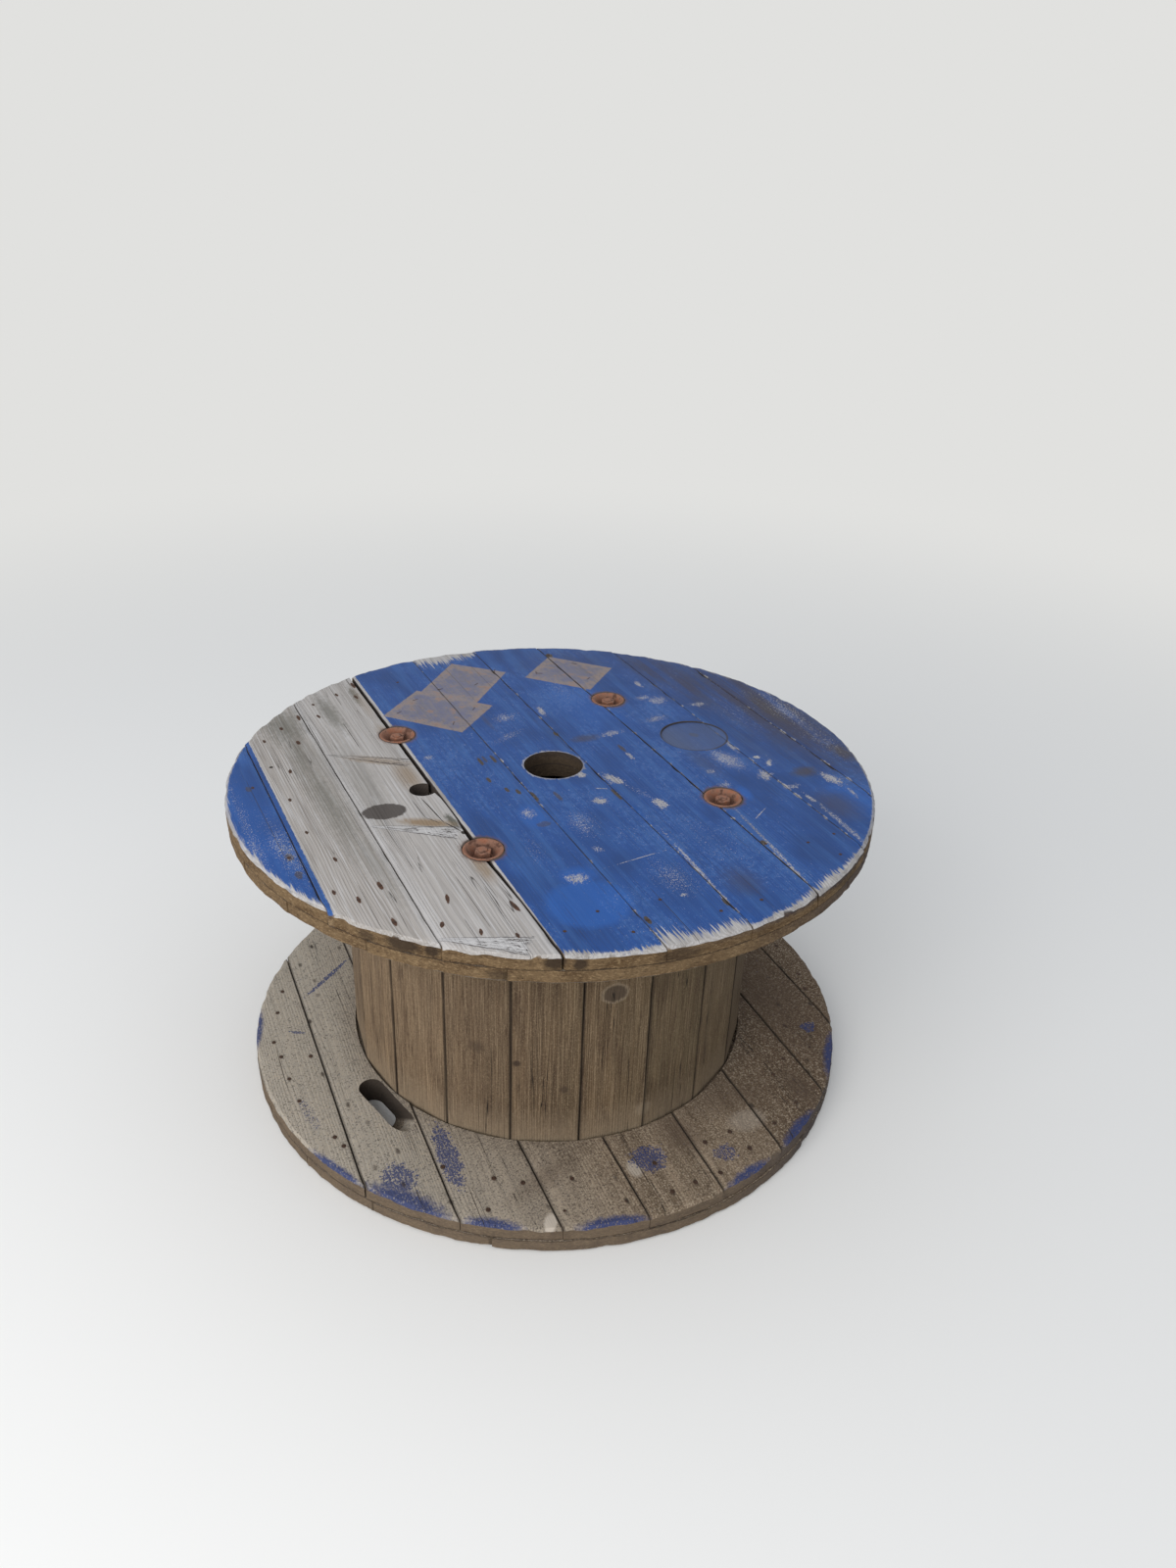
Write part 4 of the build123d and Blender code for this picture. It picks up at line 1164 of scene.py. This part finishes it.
def nailRingTree(name, seams, turn, material):
    # a ring of points by the same draws as nailStain, without those too near a seam
    tree, entry = startTree(name, {
        "count": "Int", "radius": "Float", "spread": "Float", "jitter": "Float", "seed": "Float", "level": "Float",
        "clearOfSeam": "Float"})
    line = addNode(tree, "GeometryNodeMeshLine", {"Count": entry["count"]})
    halfCount = addNode(tree, "Math MULTIPLY", [entry["count"], 0.5])
    cell = addNode(tree, "Math SUBTRACT", [addNode(tree, "GeometryNodeInputIndex"), halfCount])
    seeded = addNode(tree, "Math MULTIPLY_ADD", [entry["seed"], 100.0, cell])
    chance = addNode(tree, "TexWhiteNoise", {"W": seeded}, out="Color", noise_dimensions="1D")
    chances = addNode(tree, "SeparateXYZ", [chance]).node.outputs
    centred = [addNode(tree, "Math SUBTRACT", [part, 0.5]) for part in chances[:2]]
    jitter = addNode(tree, "Math MULTIPLY_ADD", [centred[0], entry["jitter"], 0.5])
    step = addNode(tree, "Math DIVIDE", [2 * math.pi, entry["count"]])
    angle = addNode(tree, "Math MULTIPLY", [addNode(tree, "Math ADD", [cell, jitter]), step])
    radius = addNode(tree, "Math MULTIPLY_ADD", [centred[1], entry["spread"], entry["radius"]])
    turned = [addNode(tree, "Math " + part, [angle]) for part in ("COSINE", "SINE")]
    x, y = [addNode(tree, "Math MULTIPLY", [part, radius]) for part in turned]
    place = addNode(tree, "CombineXYZ", [x, y, entry["level"]])
    scaled = addNode(tree, "VectorMath SCALE", {0: place, "Scale": mm})
    points = addNode(tree, "GeometryNodeSetPosition", {"Geometry": line, "Position": scaled})
    # where the point lies across the boards, which may sit a little round
    alongX = addNode(tree, "Math MULTIPLY", [x, math.cos(turn)])
    across = addNode(tree, "Math MULTIPLY_ADD", [y, math.sin(turn), alongX])
    tooNear = strongest(tree, [
        addNode(tree, "Math LESS_THAN", [distanceTo(tree, across, seam), entry["clearOfSeam"]]) for seam in seams])
    kept = addNode(tree, "GeometryNodeDeleteGeometry", {"Geometry": points, "Selection": tooNear}, domain="POINT")
    lean = nail["tilt"]
    least, most = (-lean, -lean, 0.0), (lean, lean, 6.28)
    tilt = addNode(tree, "FunctionNodeRandomValue", [least, most], data_type="FLOAT_VECTOR")
    links = {"Points": kept, "Instance": entry["Geometry"], "Rotation": tilt}
    endTree(tree, addNode(tree, "GeometryNodeInstanceOnPoints", links), material)
    return tree


nailMesh = plainMesh("oneNail", buildNail)
nailTree = nailRingTree("bottom_nails", drum["bottomSeams"], math.radians(drum["bottomTurn"]), materials["nail"])
for number, ring in enumerate(nailRings, start=1):
    level = 2 * drum["plyThickness"] + nail["proud"]
    values = dict(ring, level=level, clearOfSeam=nail["clearOfSeam"])
    hangOn(evaluated(f"bottom_nails_ring_{number}", nailMesh.copy(), nailTree, values))


def pointsMesh(name, places, turns):
    data = bpy.data.meshes.new(name)
    data.from_pydata([(x * mm, y * mm, z * mm) for x, y, z in places], [], [])
    turn = data.attributes.new("turn", "FLOAT", "POINT")
    turn.data.foreach_set("value", [math.radians(t) for t in turns])
    return data


def topNailTree(material):
    # a short round nail at every point, each a little out of true
    tree, entry = startTree("topNails", {"head": "Float", "length": "Float", "tilt": "Float", "seed": "Int"})
    shank = addNode(tree, "GeometryNodeMeshCylinder", {
        "Vertices": nail["segments"], "Radius": entry["head"], "Depth": entry["length"]})
    half = addNode(tree, "CombineXYZ", {2: addNode(tree, "Math MULTIPLY", [entry["length"], -0.5])})
    lowered = addNode(tree, "GeometryNodeTransform", {"Geometry": shank, "Translation": half})
    leastLean = addNode(tree, "Math MULTIPLY", [entry["tilt"], -1.0])
    leans = []
    for step in (0.0, 500.0):
        number = addNode(tree, "Math ADD", [addNode(tree, "GeometryNodeInputIndex"), step])
        leans.append(addNode(tree, "FunctionNodeRandomValue", {
            2: leastLean, 3: entry["tilt"], "Seed": entry["seed"], "ID": number}, out=1, data_type="FLOAT"))
    links = {"Points": entry["Geometry"], "Instance": lowered, "Rotation": addNode(tree, "CombineXYZ", leans)}
    endTree(tree, addNode(tree, "GeometryNodeInstanceOnPoints", links), material)
    return tree


def stapleTree(material):
    # a wire staple at every point: the crown along X and two legs, turned by the point's own angle
    tree, entry = startTree("staples", {"crown": "Float", "wire": "Float", "leg": "Float"})
    bar, peg = [addNode(tree, "GeometryNodeMeshCylinder", {
        "Vertices": staple["sides"], "Radius": entry["wire"], "Depth": entry[length]}) for length in ("crown", "leg")]
    parts = [addNode(tree, "GeometryNodeTransform", {"Geometry": bar, "Rotation": (0.0, math.pi / 2, 0.0)})]
    below = addNode(tree, "Math MULTIPLY", [entry["leg"], -0.5])
    for end in (-0.46, 0.46):
        at = addNode(tree, "CombineXYZ", {0: addNode(tree, "Math MULTIPLY", [entry["crown"], end]), 2: below})
        parts.append(addNode(tree, "GeometryNodeTransform", {"Geometry": peg, "Translation": at}))
    joined = addNode(tree, "GeometryNodeJoinGeometry").node
    for part in parts:
        tree.links.new(part, joined.inputs[0])
    turn = addNode(tree, "GeometryNodeInputNamedAttribute", {"Name": "turn"}, data_type="FLOAT")
    rotation = addNode(tree, "CombineXYZ", {2: turn})
    links = {"Points": entry["Geometry"], "Instance": joined.outputs[0], "Rotation": rotation}
    endTree(tree, addNode(tree, "GeometryNodeInstanceOnPoints", links), material)
    return tree


nailSpots = [(mark["x"], mark["y"]) for mark in topMarks["nail"][2]] + list(paintedNails)
nailLevel, stapleLevel = drum["height"] + nail["proud"], drum["height"] - staple["sunk"]
nailsAt = pointsMesh("topNailPlaces", [(x, y, nailLevel) for x, y in nailSpots], [0.0] * len(nailSpots))
staplesAt = pointsMesh(
    "staplePlaces", [(x, y, stapleLevel) for x, y, turn in staplePlaces], [turn for x, y, turn in staplePlaces])
topNails = evaluated("top_nails", nailsAt, topNailTree(materials["nail"]), {
    "head": nail["topHead"] * mm, "length": nail["length"] * mm, "tilt": nail["tilt"], "seed": nail["seed"]})
staples = evaluated("label_staples", staplesAt, stapleTree(materials["nail"]), {
    key: staple[key] * mm for key in ("crown", "wire", "leg")})
for piece in (topNails, staples):
    hangOn(piece)
print("nails driven")

# the camera stands where the photographer stood
photoView = {
    "place": (-613.9, -1323.1, 1218.7), "yaw": 26.86, "pitch": 28.287, "roll": 2.233, "lens": 26.569, "sensor": 36.0,
}


def placeCamera():
    yaw, pitch, roll = (math.radians(photoView[k]) for k in ("yaw", "pitch", "roll"))
    forward = Vector((math.sin(yaw) * math.cos(pitch), math.cos(yaw) * math.cos(pitch), -math.sin(pitch)))
    right = Vector((math.cos(yaw), -math.sin(yaw), 0))
    up = right.cross(forward)
    tiltedRight = right * math.cos(roll) + up * math.sin(roll)
    tiltedUp = up * math.cos(roll) - right * math.sin(roll)
    camera = bpy.data.objects.new("photoCamera", bpy.data.cameras.new("photoCamera"))
    turned = Matrix((tiltedRight, tiltedUp, -forward)).transposed().to_4x4()
    camera.matrix_world = Matrix.Translation(Vector(photoView["place"]) * mm) @ turned
    camera.data.lens = photoView["lens"]
    camera.data.sensor_width = photoView["sensor"]
    camera.data.sensor_fit = "AUTO"
    camera.data.clip_end = 100.0
    bpy.context.scene.collection.objects.link(camera)
    bpy.context.scene.camera = camera


# a pale floor that fades into the pale world, one soft lamp overhead; sizes in metres
studio = {
    "floorSeen": "#f0eeea", "floorBounce": "#b0aeaa", "worldSeen": "#e1e1df", "worldLight": "#e9eef5",
    "worldStrength": 0.76, "lampPower": 75.0, "lampSize": 2.4, "lampPlace": (-2.5, -1.7, 1.9),
    "lampAim": (0, 0, 0.3), "floorSize": 40.0,
    "fadeFrom": 1.1, "fadeTo": 3.6,
}


def seenDirectly(tree):
    seen = addNode(tree, "LightPath").node.outputs
    return strongest(tree, [seen["Is Camera Ray"], seen["Is Glossy Ray"]])


def buildStudio():
    s = studio
    floorMaterial, tree = startMaterial("paleStudioFloor")
    direct = seenDirectly(tree)
    bounce, seen = toLinear(s["floorBounce"]), toLinear(s["floorSeen"])
    tone = addNode(tree, "Mix", {0: direct, 6: bounce, 7: seen}, out=2, data_type="RGBA")
    away = addNode(tree, "VectorMath LENGTH", [addNode(tree, "TexCoord", out="Object")], out="Value")
    fade = addNode(tree, "MapRange", [away, s["fadeFrom"], s["fadeTo"]], interpolation_type="SMOOTHSTEP")
    fade = addNode(tree, "Math MULTIPLY", [fade, direct])
    pale = addNode(tree, "Emission", {"Color": toLinear(s["worldSeen"]), "Strength": 1.0})
    both = addNode(tree, "MixShader", [fade, addNode(tree, "BsdfDiffuse", {"Color": tone}), pale])
    addNode(tree, "OutputMaterial", {"Surface": both})
    half = s["floorSize"] / 2
    data = bpy.data.meshes.new("studioFloor")
    data.from_pydata([(-half, -half, 0), (half, -half, 0), (half, half, 0), (-half, half, 0)], [], [(0, 1, 2, 3)])
    data.materials.append(floorMaterial)
    floor = bpy.data.objects.new("studioFloor", data)
    bpy.context.scene.collection.objects.link(floor)

    world = bpy.data.worlds.new("softStudio")
    world.use_nodes = True
    tree = world.node_tree
    tree.nodes.clear()
    light, pale = [addNode(tree, "Background", {"Color": toLinear(colour), "Strength": strength})
                   for colour, strength in ((s["worldLight"], s["worldStrength"]), (s["worldSeen"], 1.0))]
    addNode(tree, "OutputWorld", {"Surface": addNode(tree, "MixShader", [seenDirectly(tree), light, pale])})
    bpy.context.scene.world = world

    lamp = bpy.data.lights.new("overheadSoftbox", "AREA")
    lamp.size = s["lampSize"]
    lamp.energy = s["lampPower"]
    softbox = bpy.data.objects.new("overheadSoftbox", lamp)
    place = Vector(s["lampPlace"])
    softbox.location = place
    softbox.rotation_euler = (Vector(s["lampAim"]) - place).to_track_quat("-Z", "Y").to_euler()
    bpy.context.scene.collection.objects.link(softbox)


placeCamera()
buildStudio()
bpy.context.scene.view_settings.view_transform = "Standard"
print("studio set")
